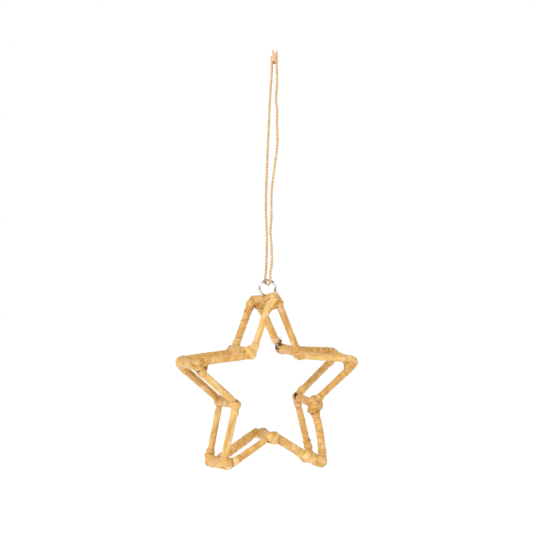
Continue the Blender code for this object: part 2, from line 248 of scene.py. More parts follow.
def twist(places, side, seed, size=1.0, taper=0.0):
    """Two-ply twine along places. The section is the outline of two circles: at an angle p from the
    line through their centres, r = c|cos p| + sqrt(q^2 - c^2 sin^2 p), and it turns with the
    distance. Its thickness ripples, and falls by the taper towards the end."""
    line = guide(places, side)
    distance = line["distance"][:, None]
    p = np.linspace(0.0, 2.0 * np.pi, TWINE_SIDES, endpoint=False)[None, :]
    radius = PLY_OFFSET * np.abs(np.cos(p)) + np.sqrt(PLY_RADIUS**2 - (PLY_OFFSET * np.sin(p))**2)
    thickness = 1.0 + 0.06 * ripple(distance / MM / 3.0, seed) + 0.03 * ripple(distance / MM * 1.7, seed + 1)
    thickness = thickness * (1.0 - taper * smooth_step(distance / distance[-1], 0.5, 1.0))
    points = on_guide(line, distance, p + 2.0 * np.pi * distance / LAY, size * thickness * radius)
    # painted shade: darker in the groove between the two plies, kept as the twine's edge value
    painted_groove_shade = 1.0 - smooth_step(np.abs(np.cos(p)), 0.15, 0.7)
    return grid(points, distance, PLY_RADIUS * p, edge=painted_groove_shade, tone=np.random.default_rng(seed).random())


twine_line = smooth_route(TWINE_ROUTE, TWINE_STEP)
twine_strands = twist(twine_line, (1.0, 0.0, 0.0), 3)
twine_loop = make_piece("twine_loop_strands", [twine_strands], "jute_twine", "twine_loop")

# %% [markdown]
# The knot is a plain overhand knot in both strands together, so it shows as two close pairs of
# turns over the strands that run up through it, and two cut ends above. It is outlined as those
# turns, each a twisted ring, because the crossing inside is never seen.

# %% Knot
KNOT_TURNS = (                              # height in mm, tilt in degrees and radius in mm
    (1.3, 26.0, 1.95), (2.6, 22.0, 2.0), (3.5, -24.0, 1.95), (4.7, -20.0, 1.7),
)
KNOT_ENDS = MM * np.array((                 # the two strands, from under the knot to their cut ends
    ((-1.3, 0.9, -0.6), (-0.9, 0.6, 1.5), (-0.5, 0.3, 4.0), (-0.6, 0.3, 6.2), (-1.0, 0.5, 8.6)),
    ((1.3, -0.9, -0.6), (0.9, -0.6, 1.5), (0.6, -0.3, 4.0), (0.9, -0.3, 6.0), (1.3, -0.4, 7.8)),
))


def knot_turn(height, tilt, radius, seed):
    """A twisted ring round the knot: a circle of a radius at a height, tilted about the Y axis, which
    rises a little from its start to its end so that it tucks under itself."""
    angle = np.linspace(0.0, 2.1 * np.pi, 64)
    climb = 0.55 * MM * (angle / angle[-1] - 0.5)
    circle = np.stack([radius * np.cos(angle), 0.86 * radius * np.sin(angle), climb], -1)
    lean = np.array(Matrix.Rotation(np.radians(tilt), 3, "Y"))
    return twist(circle @ lean.T + (0.0, 0.0, height), (0.0, 0.0, 1.0), seed, size=0.98)


knot_sheets = [knot_turn(height * MM, tilt, radius * MM, 11 + k)
               for k, (height, tilt, radius) in enumerate(KNOT_TURNS)]
knot_sheets += [twist(smooth_route(places, 0.3 * MM), (0.0, 1.0, 0.2), 15 + k, taper=0.25)
                for k, places in enumerate(KNOT_ENDS)]
print("knot parts:", len(knot_sheets))

# %% [markdown]
# Loose fibres stand off twine everywhere, and the cut ends fray into a brush of them. They are
# single hairs of a few faces each. A hair system would give thousands, but it is not a mesh, and
# two hundred are enough.

# %% Loose fibres
FIBRE_COUNT, TIP_FIBRE_COUNT = 190, 16      # along the loop, and at each cut end


def hairs(roots, ways, lengths, seed, thickness):
    """Bent hairs with three sides and five rings: root + way times the distance, plus a curl that
    grows with the square of the distance, and a radius that falls to a fifth at the tip."""
    draw = np.random.default_rng(seed)
    curl = draw.normal(0.0, 0.45, (len(roots), 3))
    share = np.linspace(0.0, 1.0, 5)
    bent = share[:, None] * ways[:, None] + share[:, None]**2 * curl[:, None]
    centre = roots[:, None] + lengths[:, None, None] * bent
    first = unit(np.cross(ways, curl))[:, None]
    second = np.cross(ways[:, None], first)
    angle = 2.0 * np.pi * np.arange(3)[:, None] / 3.0
    radius = (thickness * MM * (1.0 - 0.8 * share))[:, None, None]
    sheets = []
    for k in range(len(roots)):
        ring = np.cos(angle) * first[k] + np.sin(angle) * second[k]
        sheets.append(grid(centre[k][:, None] + radius * ring, lengths[k] * share[:, None], 0.0,
                           tone=draw.random()))
    return sheets


draw = np.random.default_rng(21)
where = draw.integers(4, len(twine_line) - 4, FIBRE_COUNT)
tangent = unit(twine_line[where + 1] - twine_line[where - 1])
outwards = unit(np.cross(tangent, draw.normal(0.0, 1.0, (FIBRE_COUNT, 3))))
roots = twine_line[where] + 0.55 * MM * outwards
ways = unit(0.55 * outwards + tangent * draw.choice((-1.0, 1.0), FIBRE_COUNT)[:, None])
loose_hairs = hairs(roots, ways, draw.gamma(2.2, 0.55, FIBRE_COUNT) * MM + 0.5 * MM, 22, 0.035)

tip_roots = np.repeat(KNOT_ENDS[:, -1] - (0.0, 0.0, 0.2 * MM), TIP_FIBRE_COUNT, axis=0)
tip_roots = tip_roots + draw.normal(0.0, 0.28, tip_roots.shape) * MM
tip_ways = unit(np.array((0.0, 0.0, 1.0)) + draw.normal(0.0, 0.38, tip_roots.shape))
tip_hairs = hairs(tip_roots, tip_ways, draw.uniform(0.7, 1.9, len(tip_roots)) * MM, 23, 0.06)

twine_knot = make_piece("twine_knot_turns", knot_sheets + tip_hairs, "jute_twine", "twine_knot")
twine_fibres = make_piece("twine_fibres", loose_hairs, "jute_twine")
print("fibres along the loop and at the cut ends:", len(loose_hairs), len(tip_hairs))

# %% [markdown]
# ## Where the wire runs
#
# The whole star follows its wire, so the wire's line is found first. Each strut's winding is a
# straight sleeve, and its axis is the direction in which its points spread furthest. That axis,
# cut by the plane of a star, is the joint: the middle of the wire's bend. The sharp corner lies a
# little further out. It depends on the directions of the neighbours, so a few rounds settle it.

# %% Reading the nodes
CORNERS = ("top_point", "upper_left_notch", "left_point", "lower_left_notch", "bottom_left_point",
           "bottom_notch", "bottom_right_point", "lower_right_notch", "right_point", "upper_right_notch")
BARS = ("top_left_leg", "upper_left_bar", "lower_left_bar", "left_leg", "bottom_left_bar",
        "bottom_right_bar", "right_leg", "lower_right_bar", "upper_right_bar", "top_right_leg")
BORE = 1.6 * MM                             # points nearer to the axis belong to a winding's bore


def node_points(name):
    """A node's own corners, each once."""
    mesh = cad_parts[name].data
    flat = np.empty(3 * len(mesh.vertices))
    mesh.vertices.foreach_get("co", flat)
    return np.unique(flat.reshape(-1, 3).round(7), axis=0)


def axis_of(points):
    """The mean of points, and the direction of their greatest spread, by singular values."""
    middle = points.mean(0)
    return middle, np.linalg.svd(points - middle, full_matrices=False)[2][0]


def winding_radius(name):
    """The mean distance from a winding's axis of its points that are outside the bore."""
    points = node_points(name)
    middle, way = axis_of(points)
    off = points - middle
    distance = np.linalg.norm(off - (off @ way)[:, None] * way, axis=1)
    return distance[distance > BORE].mean()


strut_axes = [axis_of(node_points(f"{corner}_strut_winding")) for corner in CORNERS]
strut_radii = [winding_radius(f"{corner}_strut_winding") for corner in CORNERS]
print("strut radii in mm:", np.round(np.array(strut_radii) / MM, 1).tolist())

# %% Star lines
BEND = 3.0 * MM                             # radius of the wire's centre line round a corner
ROUNDS = 12                                 # until the sharp corners settle


def star_lines(side):
    """A star's joints, bends and bar ends, and the ways out and across at each corner, as arrays
    with one row for each corner."""
    depth = np.mean([node_points(f"{side}_{bar}_winding")[:, 1].mean() for bar in BARS])
    joints = np.array([middle + way * (depth - middle[1]) / way[1] for middle, way in strut_axes])
    corners = joints.copy()
    for _ in range(ROUNDS):
        back = unit(np.roll(corners, 1, 0) - corners)
        ahead = unit(np.roll(corners, -1, 0) - corners)
        middle_way = unit(back + ahead)
        half = np.arccos(np.clip((back * ahead).sum(1), -1.0, 1.0)) / 2.0
        corners = joints - middle_way * (BEND / np.sin(half) - BEND)[:, None]
    centres = corners + middle_way * (BEND / np.sin(half))[:, None]
    tangents = (BEND / np.tan(half))[:, None]
    starts, ends = corners + back * tangents, corners + ahead * tangents
    spread = np.linspace(-1.0, 1.0, 9)[None, :] * (np.pi / 2.0 - half)[:, None]
    across = unit(ends - starts)
    bends = centres[:, None] + BEND * (np.sin(spread)[..., None] * across[:, None]
                                       - np.cos(spread)[..., None] * middle_way[:, None])
    return {"joints": joints, "bends": bends, "starts": starts, "ends": ends, "out": -middle_way,
            "across": across}


star = {side: star_lines(side) for side in ("back", "front")}
print("joint of the front top point in mm:", np.round(star["front"]["joints"][0] / MM, 1).tolist())

# %% Bar lines
def bar_places(side, index, share):
    """Places along a bar between its bends. The front star's lower right leg bulges outwards by a
    sine of the share, as high as its own winding stands off the straight line."""
    lines = star[side]
    start, end = lines["ends"][index % 10], lines["starts"][(index + 1) % 10]
    share = np.asarray(share)
    places = start + share[:, None] * (end - start)
    if (side, BARS[index % 10]) == ("front", "right_leg"):
        way = unit(end - start)
        off = node_points("front_right_leg_winding") - start
        middle = np.abs(off @ way / np.linalg.norm(end - start) - 0.5) < 0.12
        bulge = (off - (off @ way)[:, None] * way)[middle].mean(0) * (1.0, 0.0, 1.0)
        places = places + np.sin(np.pi * share)[:, None] * bulge
    return places


def bar_guide(side, index):
    """The guide of a bar, from the joint at its start to the joint at its end."""
    bends = star[side]["bends"]
    middle = bar_places(side, index, np.linspace(0.0, 1.0, 30)[1:-1])
    return guide(np.vstack([bends[index][4:], middle, bends[(index + 1) % 10][:5]]), (0.0, 1.0, 0.0))


print("length of the front lower right leg in mm:", round(bar_guide("front", 6)["distance"][-1] / MM, 1))

# %% [markdown]
# ## The steel wire
#
# The wire only shows in the gaps of the peel, yet it is made whole: two closed stars and ten struts
# of round wire, welded where they meet. A bevelled curve would do as well. The grid is used because
# it is there already and its ends are closed.

# %% Wire frame
WIRE_RADIUS = 1.0 * MM


def round_wire(places, side, radius, closed=False, sides=12):
    """A round section of a radius carried along places."""
    if closed:
        places = np.vstack([places, places[:1]])
    line = guide(places, side)
    angle = np.linspace(0.0, 2.0 * np.pi, sides, endpoint=False)[None, :]
    distance = line["distance"][:-1 if closed else None, None]
    return grid(on_guide(line, distance, angle, radius), distance, radius * angle, closed=closed)


def star_wire(side):
    """The closed wire of one star, bend by bend and bar by bar."""
    places = []
    for index in range(10):
        places += [star[side]["bends"][index], bar_places(side, index, np.linspace(0.0, 1.0, 8)[1:-1])]
    return round_wire(np.vstack(places), (0.0, 1.0, 0.0), WIRE_RADIUS, closed=True)


wire_sheets = [star_wire("back"), star_wire("front")]
for back, front in zip(star["back"]["joints"], star["front"]["joints"]):
    places = back + np.linspace(0, 1, 6)[:, None] * (front - back)
    wire_sheets.append(round_wire(places, (1.0, 0.0, 0.0), WIRE_RADIUS))
wire = make_piece("welded_wire", wire_sheets, "frame_wire", "wire_frame")
print("wire faces:", len(wire.data.polygons))

# %% [markdown]
# ## The steel ring
#
# The ring is a plain round one, as used on key rings. A torus would do, but it would have to be
# turned into place. Here its place, turn and sizes are read from its node: the direction in which
# its points spread least is its axle.

# %% Hanging ring
ring_low, ring_high = (np.array(corner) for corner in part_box("hanging_ring"))
ring_middle = (ring_low + ring_high) / 2.0
ring_off = node_points("hanging_ring") - ring_middle
ring_axle = np.linalg.svd(ring_off, full_matrices=False)[2][2]
ring_wire = np.abs(ring_off @ ring_axle).max()
ring_outer = np.linalg.norm(ring_off - (ring_off @ ring_axle)[:, None] * ring_axle, axis=1).max()
ring_angle = np.linspace(0.0, 2.0 * np.pi, 120, endpoint=False)[:, None]
ring_side = unit(np.cross(ring_axle, (0.0, 0.0, 1.0)))
ring_circle = ring_middle + (ring_outer - ring_wire) * (
    np.cos(ring_angle) * ring_side + np.sin(ring_angle) * np.cross(ring_side, ring_axle))
ring = make_piece("steel_ring", [round_wire(ring_circle, ring_axle, ring_wire, closed=True, sides=24)],
                  "ring_steel", "hanging_ring")
print("ring outer radius and wire radius in mm:", np.round([ring_outer / MM, ring_wire / MM], 2).tolist())

# %% [markdown]
# ## Strips of peel
#
# Rattan peel is the shiny skin of the cane, split into flat strips a few millimetres wide and about
# half a millimetre thick. Its section is flat below, nearly flat above and rounded at the edges.
#
# A bar is covered in one of two ways. On some the strip is wound round and round like a screw
# thread, and each turn lies over the edge of the turn before. On others two or three strips lie
# lengthwise and close round the bar like staves, so the grain runs along it. Both are the same
# trick: the bar's surface is unrolled into a plane, the strip is laid on that plane, and the plane
# is rolled up again by using one direction as the distance and the other as the angle.

# %% Strip section
TOP = np.array([-1, -.975, -.9, -.7, -.4, 0, .4, .7, .9, .975, 1.0])
TOP_HEIGHT = np.array([.35, .74, .95, 1, 1, 1, 1, 1, .95, .74, .35])
UNDER = np.array([.92, .4, -.4, -.92])
SHARE = np.concatenate([TOP, UNDER])[None, :]                  # -1 at one edge, 1 at the other
HEIGHT = np.concatenate([TOP_HEIGHT, np.zeros(4)])[None, :]    # 0 on the underside, 1 on top
EDGE = smooth_step(np.abs(SHARE), 0.72, 1.0)
print("points round a strip's section:", SHARE.size)

# %% Wound and laid strips
WOUND_THICKNESS, LAID_THICKNESS = 0.5, 0.6      # in mm
STEPS_PER_TURN, LAID_STEP = 30, 0.9             # how finely each is divided, the second in mm
CROWN = 0.05                                    # how much a strip swells in its middle, in mm


def end_swell(distance, start, end, swell, reach):
    """What a covering gains in radius near its start and its end, over a reach from each."""
    first, last = swell
    return (first * (1.0 - smooth_step(distance, start, start + reach))
            + last * smooth_step(distance, end - reach, end))


def wound_strip(line, start, end, radius, pitch, width, lap, hand, first_angle, tone, seed,
                swell=(0.0, 0.0), painted_seam_shade=0.0):
    """A strip wound round a guide. Unrolled, it lies at a slope of pitch over circumference; a point
    at a share x across it is at distance start + pitch turns + x width/2 cos(slope) and at angle
    2 pi turns - x width/2 sin(slope) / radius. One edge is raised by the lap over the turn before.
    All lengths are in millimetres; swell is what the radius gains at the start and at the end."""
    turns = (end - start) / pitch
    turn = np.linspace(0.0, turns, max(int(turns * STEPS_PER_TURN), 8))[:, None]
    slope = np.arctan2(pitch, 2.0 * np.pi * radius)
    width = width * (1.0 + 0.07 * ripple(turn * 1.3, seed))
    across = SHARE * width / 2.0
    drift = 0.10 * pitch * ripple(turn * 1.1, seed + 1)
    distance = start + turn * pitch + drift + across * np.cos(slope)
    angle = first_angle + hand * (2.0 * np.pi * turn - across * np.sin(slope) / radius)
    fat = end_swell(distance, start, end, swell, 6.0)
    body = radius + fat + 0.07 * ripple(turn * 2.1, seed + 2) - 0.5 * lap * SHARE
    height = body + WOUND_THICKNESS * (HEIGHT - 1.0) + CROWN * (1.0 - SHARE**2)
    along = turn * np.hypot(2.0 * np.pi * radius, pitch) + 37.0 * seed
    # painted shade: the edge that tucks under the next turn is darkened in patches, as the seam's shadow
    painted_shade = painted_seam_shade * smooth_step(SHARE, 0.88, 1.0) * smooth_step(ripple(turn * 2.3, seed + 3), -0.6, 0.5)
    return grid(on_guide(line, distance * MM, angle, height * MM), along * MM, across * MM, edge=EDGE,
                tone=tone, painted_shade=painted_shade)


def laid_strips(line, start, end, radius, count, lap, turn, first_angle, tone, seed,
                swell=(0.0, 0.0), painted_seam_shade=0.0):
    """Strips laid lengthwise round a guide like staves. Each is as wide as its part of the
    circumference and a little more; a point at a share x across it is at the angle of its middle
    plus x width/2 / radius, and the middle turns slowly with the distance. Lengths in millimetres."""
    sheets = []
    place = np.linspace(start, end, max(int((end - start) / LAID_STEP), 6))[:, None]
    across = SHARE * (2.0 * np.pi * radius / count * 1.06) / 2.0
    fat = end_swell(place, start, end, swell, 5.0)
    for k in range(count):
        middle = first_angle + 2.0 * np.pi * k / count + turn * (place - start)
        angle = middle + 0.16 * ripple(place / 9.0, seed) + across / radius
        body = radius + fat + 0.06 * ripple(place / 5.0, seed + k) - 0.5 * lap * SHARE
        height = body + LAID_THICKNESS * (HEIGHT - 1.0) + CROWN * (1.0 - 2.0 * SHARE**2)
        # painted shade: each strip's edge is darkened in patches, as the shadow in the seam between strips
        painted_shade = painted_seam_shade * smooth_step(SHARE, 0.88, 1.0) * smooth_step(ripple(place / 4.0, seed + k + 3), -0.3, 0.6)
        points = on_guide(line, place * MM, angle, height * MM)
        sheets.append(grid(points, (place + 53.0 * (seed + k)) * MM, across * MM, edge=EDGE,
                           tone=tone + 0.10 * (-1.0)**k, painted_shade=painted_shade))
    return sheets


print("thickness of wound and laid strips in mm:", WOUND_THICKNESS, LAID_THICKNESS)

# %% [markdown]
# ## Covering the bars
#
# Each bar has its own look, since each was covered by hand: how the strip runs, how far apart its
# turns are, how much they stand proud of each other, and whether the peel is pale or orange. One
# short row per bar says so. The radius comes from the bar's node.

# %% Bar styles
# way, pitch in mm or number of strips, lap in mm, tone, hand or turn in radians per mm, and how
# much shade is painted into the seams
BAR_STYLES = {
    ("back", "top_left_leg"): ("wound", 6.2, 0.34, 0.46, 1, 0.9),
    ("back", "upper_left_bar"): ("wound", 4.0, 0.36, 0.34, 1, 0.6),
    ("back", "lower_left_bar"): ("laid", 3, 0.22, 0.20, 0.012, 0.7),
    ("back", "left_leg"): ("laid", 2, 0.12, 0.42, 0.006, 0.3),
    ("back", "bottom_left_bar"): ("wound", 4.2, 0.42, 0.42, -1, 0.9),
    ("back", "bottom_right_bar"): ("wound", 4.6, 0.18, 0.35, 1, 0.8),
    ("back", "right_leg"): ("wound", 4.4, 0.20, 0.40, -1, 0.4),
    ("back", "lower_right_bar"): ("wound", 5.0, 0.22, 0.38, 1, 0.5),
    ("back", "upper_right_bar"): ("wound", 3.9, 0.36, 0.34, 1, 0.5),
    ("back", "top_right_leg"): ("laid", 2, 0.10, 0.90, 0.010, 0.3),
    ("front", "top_left_leg"): ("laid", 2, 0.08, 0.74, -0.012, 0.2),
    ("front", "upper_left_bar"): ("wound", 5.6, 0.14, 0.48, -1, 0.5),
    ("front", "lower_left_bar"): ("laid", 2, 0.16, 0.52, 0.010, 0.3),
    ("front", "left_leg"): ("laid", 2, 0.05, 0.72, 0.014, 0.0),
    ("front", "bottom_left_bar"): ("laid", 2, 0.12, 0.56, -0.008, 0.4),
    ("front", "bottom_right_bar"): ("wound", 4.0, 0.16, 0.44, 1, 0.4),
    ("front", "right_leg"): ("wound", 4.6, 0.16, 0.42, 1, 0.4),
    ("front", "lower_right_bar"): ("wound", 5.0, 0.22, 0.30, -1, 0.6),
    ("front", "upper_right_bar"): ("laid", 3, 0.14, 0.66, 0.006, 0.5),
    ("front", "top_right_leg"): ("laid", 2, 0.10, 0.16, 0.008, 0.2),
}
# where the peel starts and ends, in mm from the joints, and how its radius changes there
USUAL_ENDS = (1.6, 1.6, -0.5, -0.5)
BAR_ENDS = {
    ("back", "top_right_leg"): (5.8, 1.6, -0.5, -0.5),
    ("back", "bottom_left_bar"): (1.6, 3.6, -0.5, -0.7),
    ("back", "bottom_right_bar"): (3.6, 1.6, -0.7, -0.5),
    ("front", "right_leg"): (1.6, 1.6, 0.35, -0.5),
    ("front", "upper_right_bar"): (1.6, 1.6, -0.5, 0.1),
    ("front", "upper_left_bar"): (3.4, 1.6, -0.1, -0.5),
    ("front", "bottom_left_bar"): (1.6, 3.6, -0.5, -0.9),
}
print("bars wound:", sum(style[0] == "wound" for style in BAR_STYLES.values()), "of", len(BAR_STYLES))

# %% Cover the bars
def cover_bar(side, index):
    """Covers one bar in its own style, from inside one corner's lashing to inside the next."""
    bar = BARS[index]
    way, pitch, lap, tone, hand, painted_seam_shade = BAR_STYLES[side, bar]
    line = bar_guide(side, index)
    radius = winding_radius(f"{side}_{bar}_winding") / MM
    start, left, *swell = BAR_ENDS.get((side, bar), USUAL_ENDS)
    end = line["distance"][-1] / MM - left
    seed = 10 * index + (5 if side == "back" else 0)
    if way == "wound":
        sheets = [wound_strip(line, start, end, radius, pitch, pitch * 1.12, lap, hand, seed, tone, seed,
                              swell, painted_seam_shade)]
    else:
        sheets = laid_strips(line, start, end, radius, pitch, lap, hand, 0.9 + 1.7 * seed, tone, seed,
                             swell, painted_seam_shade)
    return make_piece(f"{side}_{bar}_peel", sheets, "rattan_peel", f"{side}_{bar}_winding")


bar_pieces = [cover_bar(side, index) for side in ("back", "front") for index in range(10)]
print("bars covered:", len(bar_pieces), "faces:", sum(len(piece.data.polygons) for piece in bar_pieces))

# %% [markdown]
# The struts are short, and each is wound in the same way as a bar. Some were wound fatter or lie a
# little beside the joints, and a few start late, so that the wire shows.

# %% Struts
STRUT_STYLES = {        # gain in radius, how far outwards the winding lies, and where it starts, in mm
    "top_point": (0.30, 0.0, 1.5), "upper_left_notch": (0.6, -1.7, 1.5), "left_point": (0.6, 0.0, 1.5),
    "lower_left_notch": (0.5, 0.0, 1.5), "bottom_left_point": (0.7, -0.7, 1.5),
    "bottom_notch": (0.5, -2.0, 3.6), "bottom_right_point": (1.2, 1.1, 1.5),
    "lower_right_notch": (0.35, -0.4, 4.6), "right_point": (0.0, 0.0, 1.5),
    "upper_right_notch": (0.5, -0.9, 4.2),
}


def cover_strut(index):
    """Winds one strut, from inside the back corner's lashing to inside the front one's."""
    more, out, start = STRUT_STYLES[CORNERS[index]]
    back, front = (lines["joints"][index] + out * MM * lines["out"][index] for lines in star.values())
    line = guide(back + np.linspace(0, 1, 20)[:, None] * (front - back), (0.0, 0.0, 1.0))
    sheet = wound_strip(line, start, line["distance"][-1] / MM - 1.5, strut_radii[index] / MM + more,
                        4.6, 5.2, 0.22, (-1.0)**index, 0.7 * index, 0.40, 201 + index, painted_seam_shade=0.3)
    return make_piece(f"{CORNERS[index]}_strut_peel", [sheet], "rattan_peel",
                      f"{CORNERS[index]}_strut_winding")


strut_pieces = [cover_strut(index) for index in range(10)]
print("struts covered:", len(strut_pieces))

# %% [markdown]
# ## Lashing the corners
#
# Where three members meet, the strip is wrapped many times, first round one and then round another.
# Underneath, the wraps melt into one lump. Its shape is a distance field: the distance to the bent
# wire and to the strut, less their radii, blended where they meet. Metaballs are the ready-made way
# to that, but nothing can be laid on them. With a field, a strip can be laid on the lump by going
# outwards from its inside until the field has the value that the strip's height asks for.

# %% Corner field
BLEND = 1.1                                 # how softly the members run into each other, in mm
CORE_DEPTH = 0.75                           # the lump lies this far under the outermost wrap
POINT_REACH, NOTCH_REACH = 8.0, 5.0         # how far the lump goes out along the legs, in mm
LEG_FAT, LEG_THINNING = 0.15, 0.85          # its height over a leg at the joint, and what it loses


def off_line(points, places):
    """Distance of points from a line of places: the least, over its pieces, of the distance to
    the nearest point of the piece."""
    a, b = places[:-1], places[1:]
    way = b - a
    off = points[..., None, :] - a
    share = np.clip((off * way).sum(-1) / (way**2).sum(-1), 0.0, 1.0)
    return np.linalg.norm(off - share[..., None] * way, axis=-1).min(-1)


def blended(first, second, width):
    """The lesser of two distances, rounded off over a width: less h^2 width / 4 where they are near,
    with h = 1 - |difference| / width."""
    h = np.clip(1.0 - np.abs(first - second) / width, 0.0, 1.0)
    return np.minimum(first, second) - h * h * width / 4.0


def height_above(corner, points):
    """The corner's field: the height of points above the surface of its lump, below 0 inside."""
    joint, strut = corner["joint"], corner["axes"][2]
    strut_line = corner["middle"] + np.array([0.0, corner["radius"] + 1.2])[:, None] * strut
    distance = np.linalg.norm(points - joint, axis=-1)
    result = np.linalg.norm(points - corner["middle"], axis=-1) - corner["radius"]
    fat = LEG_FAT - LEG_THINNING * smooth_step(distance, 2.0, corner["reach"])
    for line, radius in corner["legs"]:
        leg = np.maximum(off_line(points, line) - radius - fat, distance - corner["reach"] - 0.6)
        result = blended(result, leg, BLEND)
    result = blended(result, off_line(points, strut_line) - corner["strut_radius"] - 0.05, BLEND)
    for rod, radius in corner["fills"]:
        result = blended(result, off_line(points, rod) - radius, BLEND)
    return result


def corner_of(side, index, fills=(), dents=(), swell=0.0, shift=0.0):
    """A corner's facts in millimetres: its joint, its three directions (out, across in the star's
    plane, and along the strut), its radii, and the lines of its legs and its strut. Fills and dents
    are rods with round ends, from one place to another in parts out, across and along the strut. A
    dent's rod is moved along the field's slope until its middle lies the asked depth below the
    surface, and the dent is open in that direction."""
    lines, other = star[side], star["front" if side == "back" else "back"]
    bends = lines["bends"][index]
    joint = lines["joints"][index] / MM
    strut = unit(other["joints"][index] / MM - joint)
    axes = np.array([lines["out"][index], lines["across"][index], strut])
    binding = node_points(f"{side}_{CORNERS[index]}_binding") / MM - joint
    before = np.vstack([bar_places(side, index - 1, np.linspace(0.7, 1.0, 5)), bends[1:5]]) / MM
    after = np.vstack([bends[4:-1], bar_places(side, index, np.linspace(0.0, 0.3, 5))]) / MM
    radii = [winding_radius(f"{side}_{BARS[bar % 10]}_winding") / MM for bar in (index - 1, index)]
    corner = {
        "joint": joint, "axes": axes, "middle": joint + shift * axes[0], "point": index % 2 == 0,
        "reach": POINT_REACH if index % 2 == 0 else NOTCH_REACH, "legs": list(zip((before, after), radii)),
        "radius": -(binding @ strut).min() - CORE_DEPTH + swell,
        "strut_radius": strut_radii[index] / MM + STRUT_STYLES[CORNERS[index]][0],
        "fills": [(joint + np.array(rod) @ axes, radius) for *rod, radius in fills], "dents": [],
    }
    for *rod, radius, depth in dents:
        rod = joint + np.array(rod) @ axes
        middle = rod.mean(0)
        slope = height_above(corner, middle + 0.05 * np.vstack([np.eye(3), -np.eye(3)]))
        normal = unit(slope[:3] - slope[3:])
        sink = height_above(corner, middle[None])[0] + depth
        corner["dents"].append((rod - sink * normal, radius, normal))
    return corner


sample_corner = corner_of("front", 0)
print("lump radius at the front top point in mm:", round(sample_corner["radius"], 2))

# %% Rays to the surface
FURTHEST, HALVINGS = 13.0, 16               # the rays' longest reach in mm, and how often it is halved
WIDEST_GAP, GAP_SHADE = 3.0, 0.22           # a gap's greatest radius, and how far the painted shade round it spreads
LUMP_ROWS, LUMP_COLUMNS = 50, 100
LUMP_INWARDS, WRAP_INWARDS = (0.4, 1.6), (0.3, 1.2)     # from the middle of a notch, of a point


def depth_in_dents(corner, points, height, widest=np.inf):
    """How deep points are inside the corner's dents, above 0 inside. A point above a dent's rod is
    first moved down to it, and a dent widens by a fifth of the height above the lump. Dents wider
    than the widest are left out."""
    depth = np.full(points.shape[:-1], -9.0)
    for rod, radius, normal in corner["dents"]:
        if radius < widest:
            rise = np.clip((points - rod.mean(0)) @ normal, 0.0, 4.0)[..., None] * normal
            depth = np.maximum(depth, radius + 0.2 * height - off_line(points - rise, rod))
    return depth


def reach_out(corner, start, way, height):
    """Points on rays from each start, going its way, where they come out of the lump's surface or of
    the wrap at a height above it: halves the range between a place inside and a place outside until
    it is less than a micron long."""
    low, high = np.zeros(height.shape), np.full(height.shape, FURTHEST)
    for _ in range(HALVINGS):
        middle = (low + high) / 2.0
        points = start + middle[..., None] * way
        above = np.maximum(height_above(corner, points) - height, depth_in_dents(corner, points, height))
        low, high = np.where(above > 0.0, low, middle), np.where(above > 0.0, middle, high)
    return start + ((low + high) / 2.0)[..., None] * way


def painted_shade_in_dents(corner, points):
    """How much shade is painted on points down in a gap: 1 at a dent's wall, falling to 0 a little off
    it. A wide dent only flattens the lump, and gets no painted shade."""
    return 1.0 - smooth_step(-depth_in_dents(corner, points, 0.0, WIDEST_GAP), 0.0, GAP_SHADE)


def lump(corner, tone):
    """The lump's surface as a globe of rays: rows from pole to pole along the strut, columns round."""
    out, across, strut = corner["axes"]
    middle = corner["middle"] - LUMP_INWARDS[corner["point"]] * out
    tilt = np.linspace(0.03, np.pi - 0.03, LUMP_ROWS)[:, None]
    angle = np.linspace(0.0, 2.0 * np.pi, LUMP_COLUMNS, endpoint=False)[None, :]
    way = (np.cos(tilt)[..., None] * -strut + (np.sin(tilt) * np.cos(angle))[..., None] * out
           + (np.sin(tilt) * np.sin(angle))[..., None] * across)
    points = reach_out(corner, np.broadcast_to(middle, way.shape), way, np.zeros(way.shape[:2]))
    # painted shade on the lump where it lines a dent
    return grid(points * MM, angle * 4.0 * MM, tilt * 4.0 * MM, edge=0.2, tone=tone,
                painted_shade=painted_shade_in_dents(corner, points))


print("ray ends known to", round(FURTHEST / 2**(HALVINGS + 1), 4), "mm")

# %% Wraps and collars
WRAP_THICKNESS, COLLAR_THICKNESS = 0.45, 0.35           # in mm
WRAP_TURNS, COLLAR_TURNS = 1.08, 1.12                   # more than one, so that the ends overlap
WRAP_STEPS, COLLAR_STEPS = 92, 60
WRAP_START, WRAP_BOW = 2.2, 0.5                         # first angle, and how far it sways in mm
OVERLAP = 0.12                                          # how much higher its end is than its start


def lashing(corner, normal, offset, width, level, tone, seed):
    """One wrap over the lump. It lies along a plane whose normal has parts out, across and along the
    strut, at an offset from the joint. From a point of the plane's axis inside the lump, rays go
    round by an angle, and each stops where the field reaches the wrap's height."""
    axes = corner["axes"]
    normal = unit(np.array(normal, float)) @ axes
    first = unit(np.cross(normal, axes[1] + 0.3 * axes[0] + 0.01))
    second = np.cross(normal, first)
    share = np.linspace(0.0, WRAP_TURNS, WRAP_STEPS)[:, None]
    angle = WRAP_START + 2.0 * np.pi * share
    middle = corner["middle"] - WRAP_INWARDS[corner["point"]] * axes[0]
    across = SHARE * (width * (1.0 + 0.06 * ripple(share * 5.0, seed))) / 2.0
    begin = middle + (offset + WRAP_BOW * np.sin(angle + seed) + across)[..., None] * normal
    way = np.broadcast_to(np.cos(angle)[..., None] * first + np.sin(angle)[..., None] * second, begin.shape)
    height = level + OVERLAP * share + CROWN * (1.0 - SHARE**2) + WRAP_THICKNESS * (HEIGHT - 1.0)
    points = reach_out(corner, begin, way, height)
    steps = np.linalg.norm(np.diff(points[:, 5], axis=0), axis=1)
    along = np.concatenate([[0.0], np.cumsum(steps)])[:, None] + 41.0 * seed
    # painted shade on the wrap where it runs into a dent
    return grid(points * MM, along * MM, across * MM, edge=EDGE, tone=tone, painted_shade=painted_shade_in_dents(corner, points))


